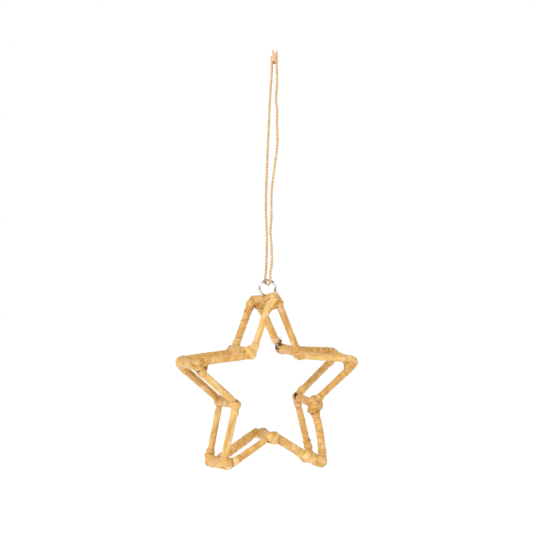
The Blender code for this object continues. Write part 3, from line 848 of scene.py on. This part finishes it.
def collar(side, index, leg, distance, width, height, lean, tone, seed):
    """One wrap round a leg, on the leg's own line at a distance from the joint. Its edge leans along
    the leg by a sine of the angle. It swells to a height above the leg's winding in the middle of its
    width, and lies close at its edges."""
    bar = (index - 1 + leg) % 10
    line = bar_guide(side, bar)
    radius = winding_radius(f"{side}_{BARS[bar]}_winding") / MM
    place = distance if leg else line["distance"][-1] / MM - distance
    share = np.linspace(0.0, COLLAR_TURNS, COLLAR_STEPS)[:, None]
    angle = seed * 1.3 + 2.0 * np.pi * share
    across = SHARE * (width * (1.0 + 0.08 * ripple(share * 5.0, seed))) / 2.0
    slide = place + lean * np.sin(angle) + 0.35 * (share - 0.5) + across
    crown = height - 0.08 + OVERLAP * share + 0.10 * ripple(share * 7.0, seed + 5)
    lift = (radius + 0.12 + 0.10 * share + crown * (1.0 - smooth_step(np.abs(SHARE), 0.3, 1.0))
            + COLLAR_THICKNESS * (HEIGHT - 1.0))
    along = 2.0 * np.pi * radius * share + 29.0 * seed
    return grid(on_guide(line, slide * MM, angle, lift * MM), along * MM, across * MM, edge=EDGE, tone=tone)


sample_wrap = lashing(sample_corner, (0.0, 0.1, 1.0), 3.0, 4.6, 0.25, 0.5, 0)
print("points in one wrap:", len(sample_wrap["tone"]))

# %% Torn ends and fibres
def flap(corner, place, way, side, length, width, tone, seed):
    """A torn end of peel, standing off at a place: it points one way and is wide in another, both in
    parts out, across and along the strut. It gets narrower and more ragged towards its tip, and
    curls by the square of the share of its length."""
    way, side = (unit(np.array(vector, float)) @ corner["axes"] for vector in (way, side))
    curl = np.cross(way, side)
    share = np.linspace(0.0, 1.0, 14)[:, None]
    across = SHARE * (width / 2.0 * (1.0 - 0.75 * share**1.5))
    reach = length * share * (1.0 + 0.15 * share * ripple(4.0 * SHARE, seed))
    height = 0.25 * length * share**2 + COLLAR_THICKNESS * (1.0 - 0.8 * share) * HEIGHT
    points = (corner["joint"] + np.array(place) @ corner["axes"] + reach[..., None] * way
              + across[..., None] * side + height[..., None] * curl)
    # The torn end is darkened 0.62 of the way towards the dark brown of the painted shade.
    return grid(points * MM, share * length * MM, across * MM, edge=1.0, tone=tone, painted_shade=0.62)


def frayed(corner, place, way, count, length, seed):
    """A bunch of torn fibres at a place, the way they point, both in parts out, across and along the
    strut."""
    draw = np.random.default_rng(seed)
    axes = corner["axes"]
    roots = corner["joint"] + np.array(place) @ axes + 0.36 * draw.normal(0.0, 1.0, (count, 3))
    ways = unit(unit(np.array(way, float)) @ axes + draw.normal(0.0, 0.35, (count, 3)))
    return hairs(roots * MM, ways, draw.uniform(0.5, 1.0, count) * length * MM, seed, 0.22)


sample_end = flap(sample_corner, (0.0, 0.0, 0.0), (1.0, 0.0, 0.0), (0.0, 1.0, 0.0), 2.0, 2.0, 0.5, 0)
print("points in one torn end:", len(sample_end["tone"]))

# %% [markdown]
# Each corner was lashed by hand, so each has its own row. Places and directions have three parts,
# out, across and along the strut, and lengths are in millimetres.
#
# - wraps: the normal of the wrap's plane, its offset, width, height and tone.
# - collars, each round one leg: 0 for the leg before the corner or 1 for the leg after it, then the
#   distance from the joint, width, height, lean and tone.
# - fills and dents: both ends of a rod and its radius, and for a dent its depth too. Dents are the
#   gaps between wraps, through which the wire shows, and their walls are painted dark with shade. A
#   very wide one, whose rod lies outside the lump, only flattens it and gets no painted shade.
# - frays, bunches of torn fibres: the place, the way they point, how many, and their length.
# - flaps, torn ends of peel: the place, the way it points, the way it is wide, its length, width
#   and tone.
# - swell and shift: how much fatter the lump is than its node says, and how far its middle lies
#   outwards from the joint.

# %% Corner rows
ROUND_STRUT = (0.0, 0.1, 1.0)               # the plane of a wrap that goes round the strut
CORNER_ROWS = {
    ("front", "top_point"): {
        "swell": -0.2,
        "fills": [((-5.1, -1.2, 0.2), (-5.3, 1.2, 0.4), 2.2), ((-2.6, 1.6, 2.0), (-4.8, 0.4, 6.6), 2.6),
                  ((-5.4, 1.6, 0.2), (-8.6, 4.0, 0.2), 1.5)],
        "dents": [((1.5, -0.5, -3.2), (-0.5, -3.5, -1.9), 0.36, 0.2),
                  ((-5.5, -1.6, -1.6), (-6.8, -1.9, -1.4), 0.45, 0.3),
                  ((-2.2, 5.0, 0.0), (-3.0, 4.6, 0.8), 0.5, 0.3)],
        "wraps": [(ROUND_STRUT, 3.0, 4.6, 0.25, 0.45), ((0.75, 0.66, -0.15), 0.6, 5.2, 0.41, 0.7),
                  ((0.95, -0.3, 0.5), 0.9, 4.4, 0.57, 0.5)],
        "collars": [(0, 5.6, 4.6, 0.75, 0.3, 0.2)],
        "frays": [((3.0, -1.9, -0.6), (0.5, -0.9, 0.0), 5, 1.5)],
    },
    ("back", "top_point"): {
        "fills": [((-2.8, -0.6, 10.0), (-5.3, -1.6, 4.4), 2.4),
                  ((-3.4, -1.0, -0.9), (-5.3, -1.7, -0.9), 1.1)],
        "dents": [((-3.8, -0.6, 0.4), (-6.6, -1.2, 0.4), 1.3, -0.4),
                  ((1.5, 2.8, 0.9), (-1.8, 2.4, 2.9), 0.32, 0.2)],
        "wraps": [((0.9, -0.5, 1.0), 0.2, 4.6, 0.35, 0.55)],
        "collars": [(1, 5.0, 5.4, 0.5, 0.5, 0.4), (1, 9.8, 3.0, 0.2, 0.4, -0.2)],
        "frays": [((-8.6, 3.6, 1.6), (-0.8, 0.6, 0.6), 5, 1.3)],
    },
    ("back", "upper_right_notch"): {
        "fills": [((-2.6, 4.4, -0.8), (-3.6, 6.0, -0.8), 1.5)],
        "dents": [((1.2, 5.0, -0.4), (1.3, 2.0, 3.4), 1.3, 0.8),
                  ((-1.4, 2.4, 1.8), (-3.0, 5.0, 1.8), 1.2, 0.9),
                  ((-2.6, 2.2, -0.8), (-3.4, 3.4, -0.6), 0.7, 0.3)],
        "wraps": [(ROUND_STRUT, 2.6, 4.6, 0.35, 0.4), ((-0.54, -0.84, -0.3), 2.6, 5.0, 0.51, 0.45),
                  ((-0.2, 0.3, 1.0), 6.0, 4.6, 0.19, 0.6)],
        "collars": [(0, 6.0, 4.0, 0.35, 0.3, 0.4), (1, 6.8, 3.6, 0.1, 0.7, 1.2)],
        "frays": [((-3.0, 5.6, 2.2), (0.45, -0.85, -0.1), 8, 4.2),
                  ((-4.4, 5.4, 1.2), (-0.8, -0.3, 0.3), 10, 1.6)],
        "flaps": [((-3.4, 4.6, 2.3), (-0.84, -0.54, 0.2), (-0.54, 0.84, 0.0), 2.2, 2.8, -0.3),
                  ((-2.8, 3.5, 2.2), (-0.84, -0.54, 0.1), (-0.54, 0.84, 0.0), 1.6, 1.3, -0.2)],
    },
    ("front", "upper_right_notch"): {
        "swell": -0.25,
        "dents": [((-2.2, 7.2, -1.2), (-2.8, 6.2, -1.9), 0.5, 0.3),
                  ((-3.3, 1.7, -0.6), (-3.4, 1.9, 0.4), 0.7, 0.3),
                  ((-0.6, 3.2, -2.0), (-1.3, 3.9, -1.6), 0.5, 0.2)],
        "wraps": [(ROUND_STRUT, 3.2, 4.6, 0.22, 0.5), ((-0.6, 0.8, -0.2), 2.6, 4.6, 0.38, 0.4),
                  ((-0.54, -0.84, -0.3), 2.4, 5.2, 0.54, 0.6)],
        "collars": [(1, 4.6, 4.2, 0.35, 0.2, 0.2)],
    },
    ("front", "upper_left_notch"): {
        "swell": -0.1, "shift": -1.2,
        "fills": [((-3.2, -1.8, 1.2), (-2.0, 0.0, 2.4), 2.2)],
        "dents": [((-3.4, 1.5, 1.6), (-2.0, 3.2, -2.2), 0.42, 0.6),
                  ((-2.0, 3.0, -2.2), (0.0, 3.6, -2.2), 0.4, 0.4),
                  ((-3.4, 1.8, 1.2), (-3.2, 1.2, 2.0), 0.6, 0.3)],
        "wraps": [((0.0, 0.0, 1.0), 2.8, 4.5, 0.23, 0.45), ((-0.35, -1.0, -0.3), 1.4, 8.0, 0.4, 0.75)],
        "collars": [(0, 6.0, 4.4, 0.25, 0.3, 0.72)],
    },
    ("back", "upper_left_notch"): {
        "shift": -1.0,
        "wraps": [(ROUND_STRUT, 3.0, 6.2, 0.5, 0.25)],
        "collars": [(0, 6.0, 3.6, 0.3, 0.3, 0.5)],
    },
    ("front", "left_point"): {
        "fills": [((-5.2, -1.0, 0.3), (-5.4, 0.8, 0.3), 1.8)],
        "dents": [((-0.4, -3.6, -1.9), (-1.3, -3.2, -2.3), 0.6, 0.3),
                  ((-4.4, 0.4, -2.3), (-5.2, 0.1, -1.8), 0.6, 0.3),
                  ((-0.4, 3.7, -1.9), (-0.9, 3.4, -2.2), 0.4, 0.2),
                  ((1.0, -1.4, -3.2), (-2.6, 1.0, -3.5), 0.26, 0.1)],
        "wraps": [(ROUND_STRUT, 3.2, 4.8, 0.22, 0.45), ((0.65, 0.75, -0.25), 0.9, 4.4, 0.38, 0.5),
                  ((0.65, -0.75, -0.25), 0.7, 4.4, 0.54, 0.32)],
        "collars": [(0, 6.4, 4.4, 0.35, 0.3, 0.45), (1, 6.0, 4.0, 0.35, -0.3, 0.5)],
        "frays": [((-0.6, 4.2, -1.6), (0.1, 0.9, -0.2), 4, 1.2)],
    },
    ("back", "left_point"): {
        "swell": -0.7,
        "dents": [((0.2, 3.0, 3.0), (-0.8, 3.0, 6.0), 0.3, 0.1)],
        "wraps": [((0.9, 0.4, 0.6), 0.3, 4.6, 0.47, 0.4), ((0.2, 0.0, 1.0), 2.4, 6.6, 0.31, 0.5),
                  ((0.0, 0.2, 1.0), 7.4, 5.2, 0.15, 0.4)],
        "collars": [(1, 6.4, 4.0, 0.22, 0.3, 0.45)],
    },
    ("front", "lower_left_notch"): {
        "dents": [((0.5, -2.3, -2.5), (0.6, -2.1, -2.9), 0.48, 0.4)],
        "wraps": [(ROUND_STRUT, 3.0, 4.6, 0.25, 0.55), ((-0.54, 0.84, -0.3), 2.0, 5.4, 0.41, 0.6)],
        "collars": [(1, 5.4, 3.4, 0.25, 0.2, 0.8)],
    },
    ("back", "lower_left_notch"): {
        "swell": 0.4, "shift": -0.4,
        "dents": [((-2.6, 2.6, 1.0), (-0.6, 3.6, 1.6), 0.3, 0.2)],
        "wraps": [(ROUND_STRUT, 3.2, 5.0, 0.27, 0.4), ((-0.54, -0.84, 0.3), 2.4, 4.6, 0.43, 0.35)],
    },
    ("back", "lower_right_notch"): {
        "swell": -0.3,
        "dents": [((1.6, 1.6, 1.4), (0.2, -0.6, 3.0), 1.3, 0.8)],
        "wraps": [((-0.54, 0.84, 0.2), 3.0, 4.4, 0.32, 0.6), ((-0.54, -0.84, 0.2), 3.0, 4.4, 0.48, 0.5)],
        "collars": [(1, 5.4, 4.0, 0.35, 0.3, 0.85), (0, 5.6, 3.4, 0.2, 0.3, 0.45)],
    },
    ("front", "lower_right_notch"): {
        "swell": 0.3, "shift": -2.1,
        "fills": [((1.0, 2.4, 0.2), (0.2, 3.2, 0.4), 2.4), ((-1.6, -3.2, -0.4), (-0.6, -4.4, -0.2), 2.7)],
        "dents": [((-3.2, 4.8, -1.9), (-3.9, 4.2, -1.6), 0.65, 0.3),
                  ((-4.7, -2.4, -2.0), (-4.4, -1.4, -2.6), 0.6, 0.3),
                  ((-0.2, -6.4, -1.6), (-0.8, -6.2, -2.2), 0.5, 0.3),
                  ((-3.7, -5.4, -2.6), (-4.3, -5.0, -2.0), 0.55, 0.3),
                  ((-2.4, 1.6, -3.4), (-0.4, 2.6, -2.8), 0.28, 0.1)],
        "wraps": [(ROUND_STRUT, 3.4, 5.0, 0.18, 0.45), ((-0.2, 1.0, -0.3), 1.8, 5.0, 0.34, 0.4),
                  ((-0.2, -0.9, -0.5), 1.9, 4.4, 0.67, 0.3), ((0.7, 0.5, 0.5), 1.2, 4.2, 0.51, 0.45)],
        "collars": [(0, 7.2, 3.2, 0.5, 0.3, 0.3), (1, 6.0, 3.6, 0.3, -0.3, 0.45)],
    },
    ("back", "bottom_notch"): {
        "swell": -0.3, "shift": -2.2,
        "dents": [((5.0, 0.0, -4.0), (5.0, 0.0, 4.0), 6.0, -4.5),
                  ((1.6, 0.0, -2.4), (1.2, 0.0, 2.8), 1.15, 2.0)],
        "wraps": [(ROUND_STRUT, 6.0, 4.4, 0.21, 0.4), ((-0.54, -0.84, 0.1), 3.2, 3.6, 0.37, 0.2),
                  ((-0.54, 0.84, 0.1), 2.9, 3.2, 0.53, 0.3)],
    },
    ("front", "bottom_notch"): {
        "swell": 0.5, "shift": -2.0,
        "dents": [((-1.3, 5.6, -2.0), (-4.3, 4.6, -1.8), 0.34, 0.1)],
        "wraps": [(ROUND_STRUT, 3.2, 4.8, 0.22, 0.45), ((-0.54, -0.84, -0.3), 2.4, 4.4, 0.38, 0.6),
                  ((-0.54, 0.84, -0.1), 2.2, 6.4, 0.54, 0.55)],
    },
    ("back", "bottom_left_point"): {
        "swell": -0.7, "shift": -0.9,
        "dents": [((-5.4, -1.8, 1.6), (-5.2, 1.8, 2.4), 0.5, 0.3)],
        "wraps": [(ROUND_STRUT, 3.6, 5.4, 0.37, 0.5), ((0.9, 0.5, 0.8), 0.6, 5.0, 0.53, 0.6),
                  ((0.1, 0.0, 1.0), 8.6, 5.0, 0.21, 0.5)],
        "collars": [(0, 4.8, 3.8, 1.05, 0.2, 0.4), (0, 7.6, 4.0, 0.85, 0.2, 0.45)],
    },
    ("front", "bottom_left_point"): {
        "swell": -1.0, "shift": -1.3,
        "dents": [((-6.4, 1.2, 0.2), (-5.2, 2.6, -1.6), 0.45, 0.3),
                  ((-5.2, 2.6, -1.6), (-2.0, 3.4, -2.2), 0.36, 0.2)],
        "wraps": [(ROUND_STRUT, 3.2, 4.8, 0.16, 0.45), ((0.9, -0.4, 0.5), 0.6, 4.8, 0.32, 0.6),
                  ((0.7, 0.7, -0.2), 0.4, 4.6, 0.48, 0.5)],
        "collars": [(1, 7.4, 4.2, 0.42, 0.5, 1.2), (1, 10.4, 2.6, 0.15, 0.3, 0.2)],
        "frays": [((-6.4, 4.6, -2.0), (0.8, 0.2, -0.5), 6, 1.2)],
    },
    ("front", "bottom_right_point"): {
        "swell": 0.15, "shift": 0.4,
        "fills": [((-1.0, -1.6, 2.0), (-1.2, -2.0, 5.0), 3.2)],
        "dents": [((-1.8, -3.6, -2.6), (-2.8, -4.0, -2.0), 0.6, 0.3)],
        "wraps": [(ROUND_STRUT, 3.0, 4.6, 0.28, 0.45), ((0.55, -0.8, -0.1), 0.4, 5.0, 0.44, 0.45)],
        "collars": [(0, 7.6, 5.4, 0.5, 0.4, 0.8), (0, 12.4, 5.0, 0.4, 0.3, 0.85),
                    (1, 6.4, 4.4, 0.25, 0.3, 0.4)],
        "frays": [((-5.6, -4.4, -2.2), (0.9, 0.2, -0.5), 5, 1.3)],
    },
    ("back", "bottom_right_point"): {
        "swell": 0.6, "shift": 1.6,
        "fills": [((0.6, -3.5, 0.3), (1.0, -0.8, 0.4), 2.6)],
        "dents": [((-4.8, 4.4, 2.4), (-5.4, 3.8, 2.6), 0.55, 0.3)],
        "wraps": [(ROUND_STRUT, 3.6, 5.0, 0.43, 0.5), ((0.6, -0.8, 0.2), 0.8, 5.0, 0.59, 0.6),
                  ((0.3, -0.5, 1.0), 8.6, 4.8, 0.27, 0.45)],
        "collars": [(1, 6.0, 4.4, 0.45, 0.4, 0.35), (1, 9.4, 3.4, 0.4, -0.3, 0.4),
                    (0, 5.6, 6.6, 0.45, 0.4, 0.6)],
        "frays": [((-9.0, 5.6, 2.2), (0.8, 0.7, 0.4), 6, 1.8), ((-5.6, 5.2, 1.6), (0.5, 0.9, 0.3), 6, 1.6)],
    },
    ("front", "right_point"): {
        "swell": -0.35,
        "fills": [((-4.8, -0.8, 0.3), (-5.0, 0.8, 0.3), 1.6)],
        "dents": [((-5.2, -5.0, -3.0), (-5.8, -4.6, -3.0), 0.5, 0.3)],
        "wraps": [(ROUND_STRUT, 3.2, 4.8, 0.22, 0.45), ((0.6, -0.8, -0.1), 0.7, 6.0, 0.54, 0.4),
                  ((0.9, 0.4, 0.6), 0.4, 4.4, 0.38, 0.55)],
        "collars": [(0, 6.8, 5.0, 0.35, 0.3, 0.35), (1, 4.4, 6.6, 0.25, 0.3, 0.6)],
        "frays": [((-6.6, -6.2, -2.6), (-0.4, -0.9, 0.0), 2, 2.2)],
    },
    ("back", "right_point"): {
        "swell": -0.6,
        "dents": [((-3.7, 4.6, 2.2), (-4.3, 4.9, 1.8), 0.6, 0.3)],
        "wraps": [(ROUND_STRUT, 3.2, 4.8, 0.22, 0.45), ((0.9, 0.4, 0.8), 0.2, 4.8, 0.38, 0.45)],
        "collars": [(1, 7.4, 3.0, 0.25, 0.4, 0.2), (0, 6.8, 4.0, 0.3, 0.3, 0.4)],
        "frays": [((-6.2, 5.6, 1.4), (0.6, 0.8, 0.0), 5, 1.6)],
    },
}
print("corners:", len(CORNER_ROWS), "wraps:", sum(len(row["wraps"]) for row in CORNER_ROWS.values()))

# %% Lash the corners
LUMP_FACTS = ("fills", "dents", "swell", "shift")


def lash_corner(side, index):
    """Makes a corner's lump, its wraps, collars, torn fibres and torn ends as one piece."""
    row = CORNER_ROWS[side, CORNERS[index]]
    corner = corner_of(side, index, **{key: row[key] for key in LUMP_FACTS if key in row})
    seed = 31 * index + (side == "back")
    sheets = [lump(corner, 0.4)]
    sheets += [lashing(corner, *facts, seed + 7 * k) for k, facts in enumerate(row["wraps"])]
    sheets += [collar(side, index, *facts, seed + 3 * k) for k, facts in enumerate(row.get("collars", ()))]
    for k, facts in enumerate(row.get("frays", ())):
        sheets += frayed(corner, *facts, seed + 5 * k)
    sheets += [flap(corner, *facts, seed + k) for k, facts in enumerate(row.get("flaps", ()))]
    name = f"{side}_{CORNERS[index]}"
    return make_piece(f"{name}_lashing", sheets, "rattan_lashing", f"{name}_binding")


corner_pieces = [lash_corner(side, index) for side in ("back", "front") for index in range(10)]
corner_faces = sum(len(piece.data.polygons) for piece in corner_pieces)
print("corners lashed:", len(corner_pieces), "faces:", corner_faces)

# %% [markdown]
# ## Shader arithmetic
#
# A finish is mostly sums: this noise times that mask, added to the other. Wiring those by hand is
# slow to write and slow to read, so a small class stands for a socket and knows +, - and *.

# %% Socket class
class Socket:
    """A shader socket. Arithmetic on it adds Math nodes; node() adds any other node to its tree."""

    def __init__(self, tree, socket=None):
        self.tree, self.socket = tree, socket

    def node(self, kind, settings=None, inputs=None, output=0):
        """Adds a node: its settings first, then the values or links of its sockets."""
        made = self.tree.nodes.new(kind)
        for name, value in (settings or {}).items():
            setattr(made, name, value)
        for name, value in (inputs or {}).items():
            feed(made, name, value)
        return Socket(self.tree, made.outputs[output])

    def maths(self, operation, first, second):
        """Adds a Math node on two values or sockets, in that order."""
        return self.node("ShaderNodeMath", {"operation": operation}, {0: first, 1: second})

    def __add__(self, other):
        return self.maths("ADD", self, other)

    __radd__ = __add__

    def __mul__(self, other):
        return self.maths("MULTIPLY", self, other)

    __rmul__ = __mul__

    def __sub__(self, other):
        return self.maths("SUBTRACT", self, other)

    def __rsub__(self, other):
        return self.maths("SUBTRACT", other, self)

    def above(self, low, high):
        """0 below low, 1 above high, smooth between."""
        return self.node("ShaderNodeMapRange", {"interpolation_type": "SMOOTHSTEP"},
                         {"Value": self, "From Min": low, "From Max": high})

    def mixed(self, first, second):
        """A colour between two, by this socket as the factor."""
        return self.node("ShaderNodeMix", {"data_type": "RGBA"}, {0: self, 6: first, 7: second}, output=2)

    def noise(self, scale, detail, rough):
        """Noise at this vector, multiplied part by part by a scale."""
        scaled = self.node("ShaderNodeVectorMath", {"operation": "MULTIPLY"}, {0: self, 1: scale})
        return self.node("ShaderNodeTexNoise", {}, {"Vector": scaled, "Scale": 1.0, "Detail": detail,
                                                    "Roughness": rough})

    def kept(self, name):
        """A value that each point of a piece keeps, by its name."""
        return self.node("ShaderNodeAttribute", {"attribute_name": name}, output="Fac")

    def strip(self):
        """How far along and across the strip each point is, in millimetres."""
        return self.node("ShaderNodeUVMap", {"uv_map": "strip"})


def feed(node, name, value):
    """Links a socket to a node's input, or sets a plain value on it."""
    if isinstance(value, Socket):
        value.tree.links.new(value.socket, node.inputs[name])
    else:
        node.inputs[name].default_value = value


print("what a socket can do besides sums:", [name for name in vars(Socket) if name[0] != "_"])

# %% Starting a finish
def new_finish(name):
    """Makes a material, and gives it with its shader node and a first socket."""
    material = bpy.data.materials.new(name)
    material.use_nodes = True
    tree = material.node_tree
    return material, tree.nodes["Principled BSDF"], Socket(tree)


def feed_bump(shader, height, strength, distance):
    """Feeds a shader's normal with a bump of a height."""
    feed(shader, "Normal", height.node("ShaderNodeBump", {}, {"Strength": strength, "Distance": distance,
                                                              "Height": height}))


def colour(red, green, blue):
    """A colour from its 0 to 255 screen values, as the light that a shader needs."""
    screen = np.array((red, green, blue)) / 255.0
    light = np.where(screen <= 0.04045, screen / 12.92, ((screen + 0.055) / 1.055) ** 2.4)
    return (*light.tolist(), 1.0)


print("light of a middle grey:", round(colour(128, 128, 128)[0], 3))

# %% [markdown]
# ## Rattan peel
#
# Peel is honey-gold with a satin skin. Under a lens it is all fibres along the strip: fine streaks,
# some paler, some orange, a few dark specks, and a darker, drier edge where the strip was split.
# Its pale pinkish patches are partly the peel's own mottling and partly painted highlight. The dark
# brown in the gaps between wraps and in the seams between turns is painted shade.
# The strip's own map says how far along and across each point is, in millimetres, so noise that is
# stretched along the strip gives the fibres, and it follows the strip round every turn. Wood
# textures from a picture would repeat, and noise in the object's space would cut across the strips.

# %% Peel finish
def peel_finish(name, warmth):
    """The peel's material. Warmth shifts the whole strip towards orange."""
    material, shader, start = new_finish(name)
    strip = start.strip()
    tone, edge, painted_shade = (start.kept(key) for key in ("tone", "edge", "painted_shade"))
    fibre = strip.noise((0.10, 4.2, 0.0), 3.0, 0.6)
    streak = strip.noise((0.045, 1.15, 0.0), 2.0, 0.55)
    patch = strip.noise((0.11, 0.16, 0.0), 2.0, 0.5)
    speck = strip.noise((0.9, 3.4, 0.0), 2.0, 0.6).above(0.73, 0.79)
    orange = strip.noise((0.16, 0.30, 0.0), 2.0, 0.5).above(0.52, 0.70)
    # pale pinkish patches: partly the peel's own mottling, partly painted highlight standing in for pale
    # specular spots
    pale_mottle_and_painted_sheen = strip.noise((-0.14, -0.26, 0.0), 2.0, 0.5).above(0.52, 0.68)
    worn = edge * (0.35 + (fibre - 0.5) * 1.2)
    light = tone + (patch - 0.5) * 1.6 + (streak - 0.5) * 0.55 + (fibre - 0.5) * 0.5 - warmth
    base = light.above(-0.1, 1.1).mixed(colour(182, 129, 50), colour(220, 183, 108))
    for share, paint in (
        (orange * 0.55, colour(206, 138, 52)),
        # partly painted highlight, partly pale mottling of the peel
        (pale_mottle_and_painted_sheen * 0.6, colour(224, 188, 146)),
        (tone.above(1.0, 1.4), colour(216, 184, 144)),      # raw peel, without its skin
        (speck * 0.5, colour(120, 76, 40)),
        (worn.maths("MAXIMUM", worn, 0.0), colour(150, 92, 40)),
        # painted shade: dark brown on dent walls and in seams, where shade would fall
        (painted_shade, colour(62, 38, 20)),
    ):
        base = share.mixed(base, paint)
    feed(shader, "Base Color", base)
    feed(shader, "Roughness", 0.42 + (fibre - 0.5) * 0.25 + edge * 0.2)
    feed_bump(shader, fibre + streak * 0.4 - speck * 0.5, 0.35, 0.12 * MM)
    return material


peel, lashed_peel = peel_finish("rattan_peel", 0.0), peel_finish("rattan_lashing", 0.04)
print("nodes in the peel's finish:", len(peel.node_tree.nodes))

# %% [markdown]
# ## Twine, wire and ring
#
# Jute is dull, hairy and straw-coloured to grey-brown, and shade is painted darker into the groove
# between its plies.
# The frame's wire is dull grey with spots of rust. The ring is plated and bright, with a little
# brown tarnish. Scratches on the ring run round its wire, so they use the strip's map too.

# %% Twine, wire and ring finishes
def twine_finish():
    """Jute, with its fibres along the plies."""
    material, shader, start = new_finish("jute_twine")
    strip, painted_groove_shade = start.strip(), start.kept("edge")
    fibre = strip.noise((0.5, 7.0, 0.0), 3.0, 0.6)
    patch = strip.noise((0.16, 0.3, 0.0), 2.0, 0.5)
    light = (fibre * 0.6 + patch * 0.7 - 0.15).above(0.1, 0.9)
    base = light.mixed(colour(186, 140, 92), colour(236, 205, 158))
    # painted shade in the groove between the plies
    feed(shader, "Base Color", (painted_groove_shade * 0.55).mixed(base, colour(150, 104, 62)))
    feed(shader, "Roughness", 0.85)
    feed_bump(shader, fibre, 0.6, 0.2 * MM)
    return material


def wire_finish():
    """Galvanised wire with spots of rust."""
    material, shader, start = new_finish("frame_wire")
    spots = start.node("ShaderNodeTexCoord", output="Object").noise((420.0, 420.0, 420.0), 3.0, 0.6)
    spots = spots.above(0.52, 0.68)
    feed(shader, "Base Color", (spots * 0.6).mixed(colour(196, 194, 190), colour(104, 78, 58)))
    feed(shader, "Metallic", 0.7 - spots * 0.5)
    feed(shader, "Roughness", 0.38 + spots * 0.3)
    return material


def ring_finish():
    """Nickel-plated steel with faint scratches and a little tarnish."""
    material, shader, start = new_finish("ring_steel")
    scratch = start.strip().noise((0.4, 9.0, 0.0), 3.0, 0.6)
    tarnish = start.strip().noise((0.30, 0.45, 0.0), 2.0, 0.5).above(0.46, 0.60)
    feed(shader, "Base Color", (tarnish * 0.85).mixed(colour(224, 221, 218), colour(146, 112, 80)))
    feed(shader, "Metallic", 1.0)
    feed(shader, "Roughness", 0.13 + (scratch - 0.5) * 0.12 + tarnish * 0.1)
    feed_bump(shader, scratch, 0.1, 0.05 * MM)
    return material


for finish, pieces in (
    (peel, bar_pieces + strut_pieces), (lashed_peel, corner_pieces), (ring_finish(), [ring]),
    (wire_finish(), [wire]), (twine_finish(), [twine_loop, twine_knot, twine_fibres]),
):
    for piece in pieces:
        piece.data.materials.clear()
        piece.data.materials.append(finish)
    print(finish.name, "on", len(pieces), "pieces")

# %% [markdown]
# ## Floor and light
#
# The ornament hangs in a white studio: a white floor well below it, a white sky, one broad lamp from
# the upper left and a weaker one from the right. The sky is darker for reflections on the side
# of the camera, so the steel ring has something to reflect.

# %% Studio
FLOOR_HALF, FLOOR_HEIGHT = 6.0, -0.46       # in metres
LAMP_TARGET = (0.0, 0.0, -0.2)              # in metres, near the star's middle

floor_mesh = bpy.data.meshes.new("floor")
floor_mesh.from_pydata([(x * FLOOR_HALF, y * FLOOR_HALF, FLOOR_HEIGHT)
                        for x, y in ((-1, -1), (1, -1), (1, 1), (-1, 1))], [], [(0, 1, 2, 3)])
floor = add_object("floor", floor_mesh)
floor_material, floor_shader, _ = new_finish("pale_floor")
for name, value in (("Base Color", (0.94, 0.94, 0.94, 1.0)), ("Roughness", 0.9),
                    ("Emission Color", (1.0, 1.0, 1.0, 1.0)), ("Emission Strength", 0.35)):
    feed(floor_shader, name, value)
floor_mesh.materials.append(floor_material)


def lamp(name, place, size, power):
    """A square area lamp at a place, aimed at the star."""
    data = bpy.data.lights.new(name, "AREA")
    data.shape, data.size, data.energy = "SQUARE", size, power
    aim = unit(np.array(place) - np.array(LAMP_TARGET))
    side = unit(np.cross((0.0, 0.0, 1.0), aim))
    turn = np.eye(4)
    turn[:3] = np.stack([side, np.cross(aim, side), aim, place], -1)
    add_object(name, data).matrix_world = Matrix(turn.tolist())


lamp("key", (-0.9, -0.8, 0.55), 0.7, 14.0)
lamp("fill", (0.9, -0.7, 0.1), 0.9, 3.0)

world = bpy.data.worlds.new("studio")
bpy.context.scene.world = world
world.use_nodes = True
sky = Socket(world.node_tree)
way = sky.node("ShaderNodeTexCoord", output="Generated")
behind = sky.node("ShaderNodeSeparateXYZ", {}, {0: way}, output="Y").above(-0.9, -0.2)
seen = sky.node("ShaderNodeLightPath", output="Is Camera Ray")
shade = behind.mixed((0.24, 0.24, 0.25, 1.0), (0.80, 0.80, 0.80, 1.0))
background = world.node_tree.nodes["Background"]
feed(background, "Color", seen.mixed(shade, (1.0, 1.0, 1.0, 1.0)))
feed(background, "Strength", 1.0)
bpy.context.scene.view_settings.view_transform = "Standard"

# %% [markdown]
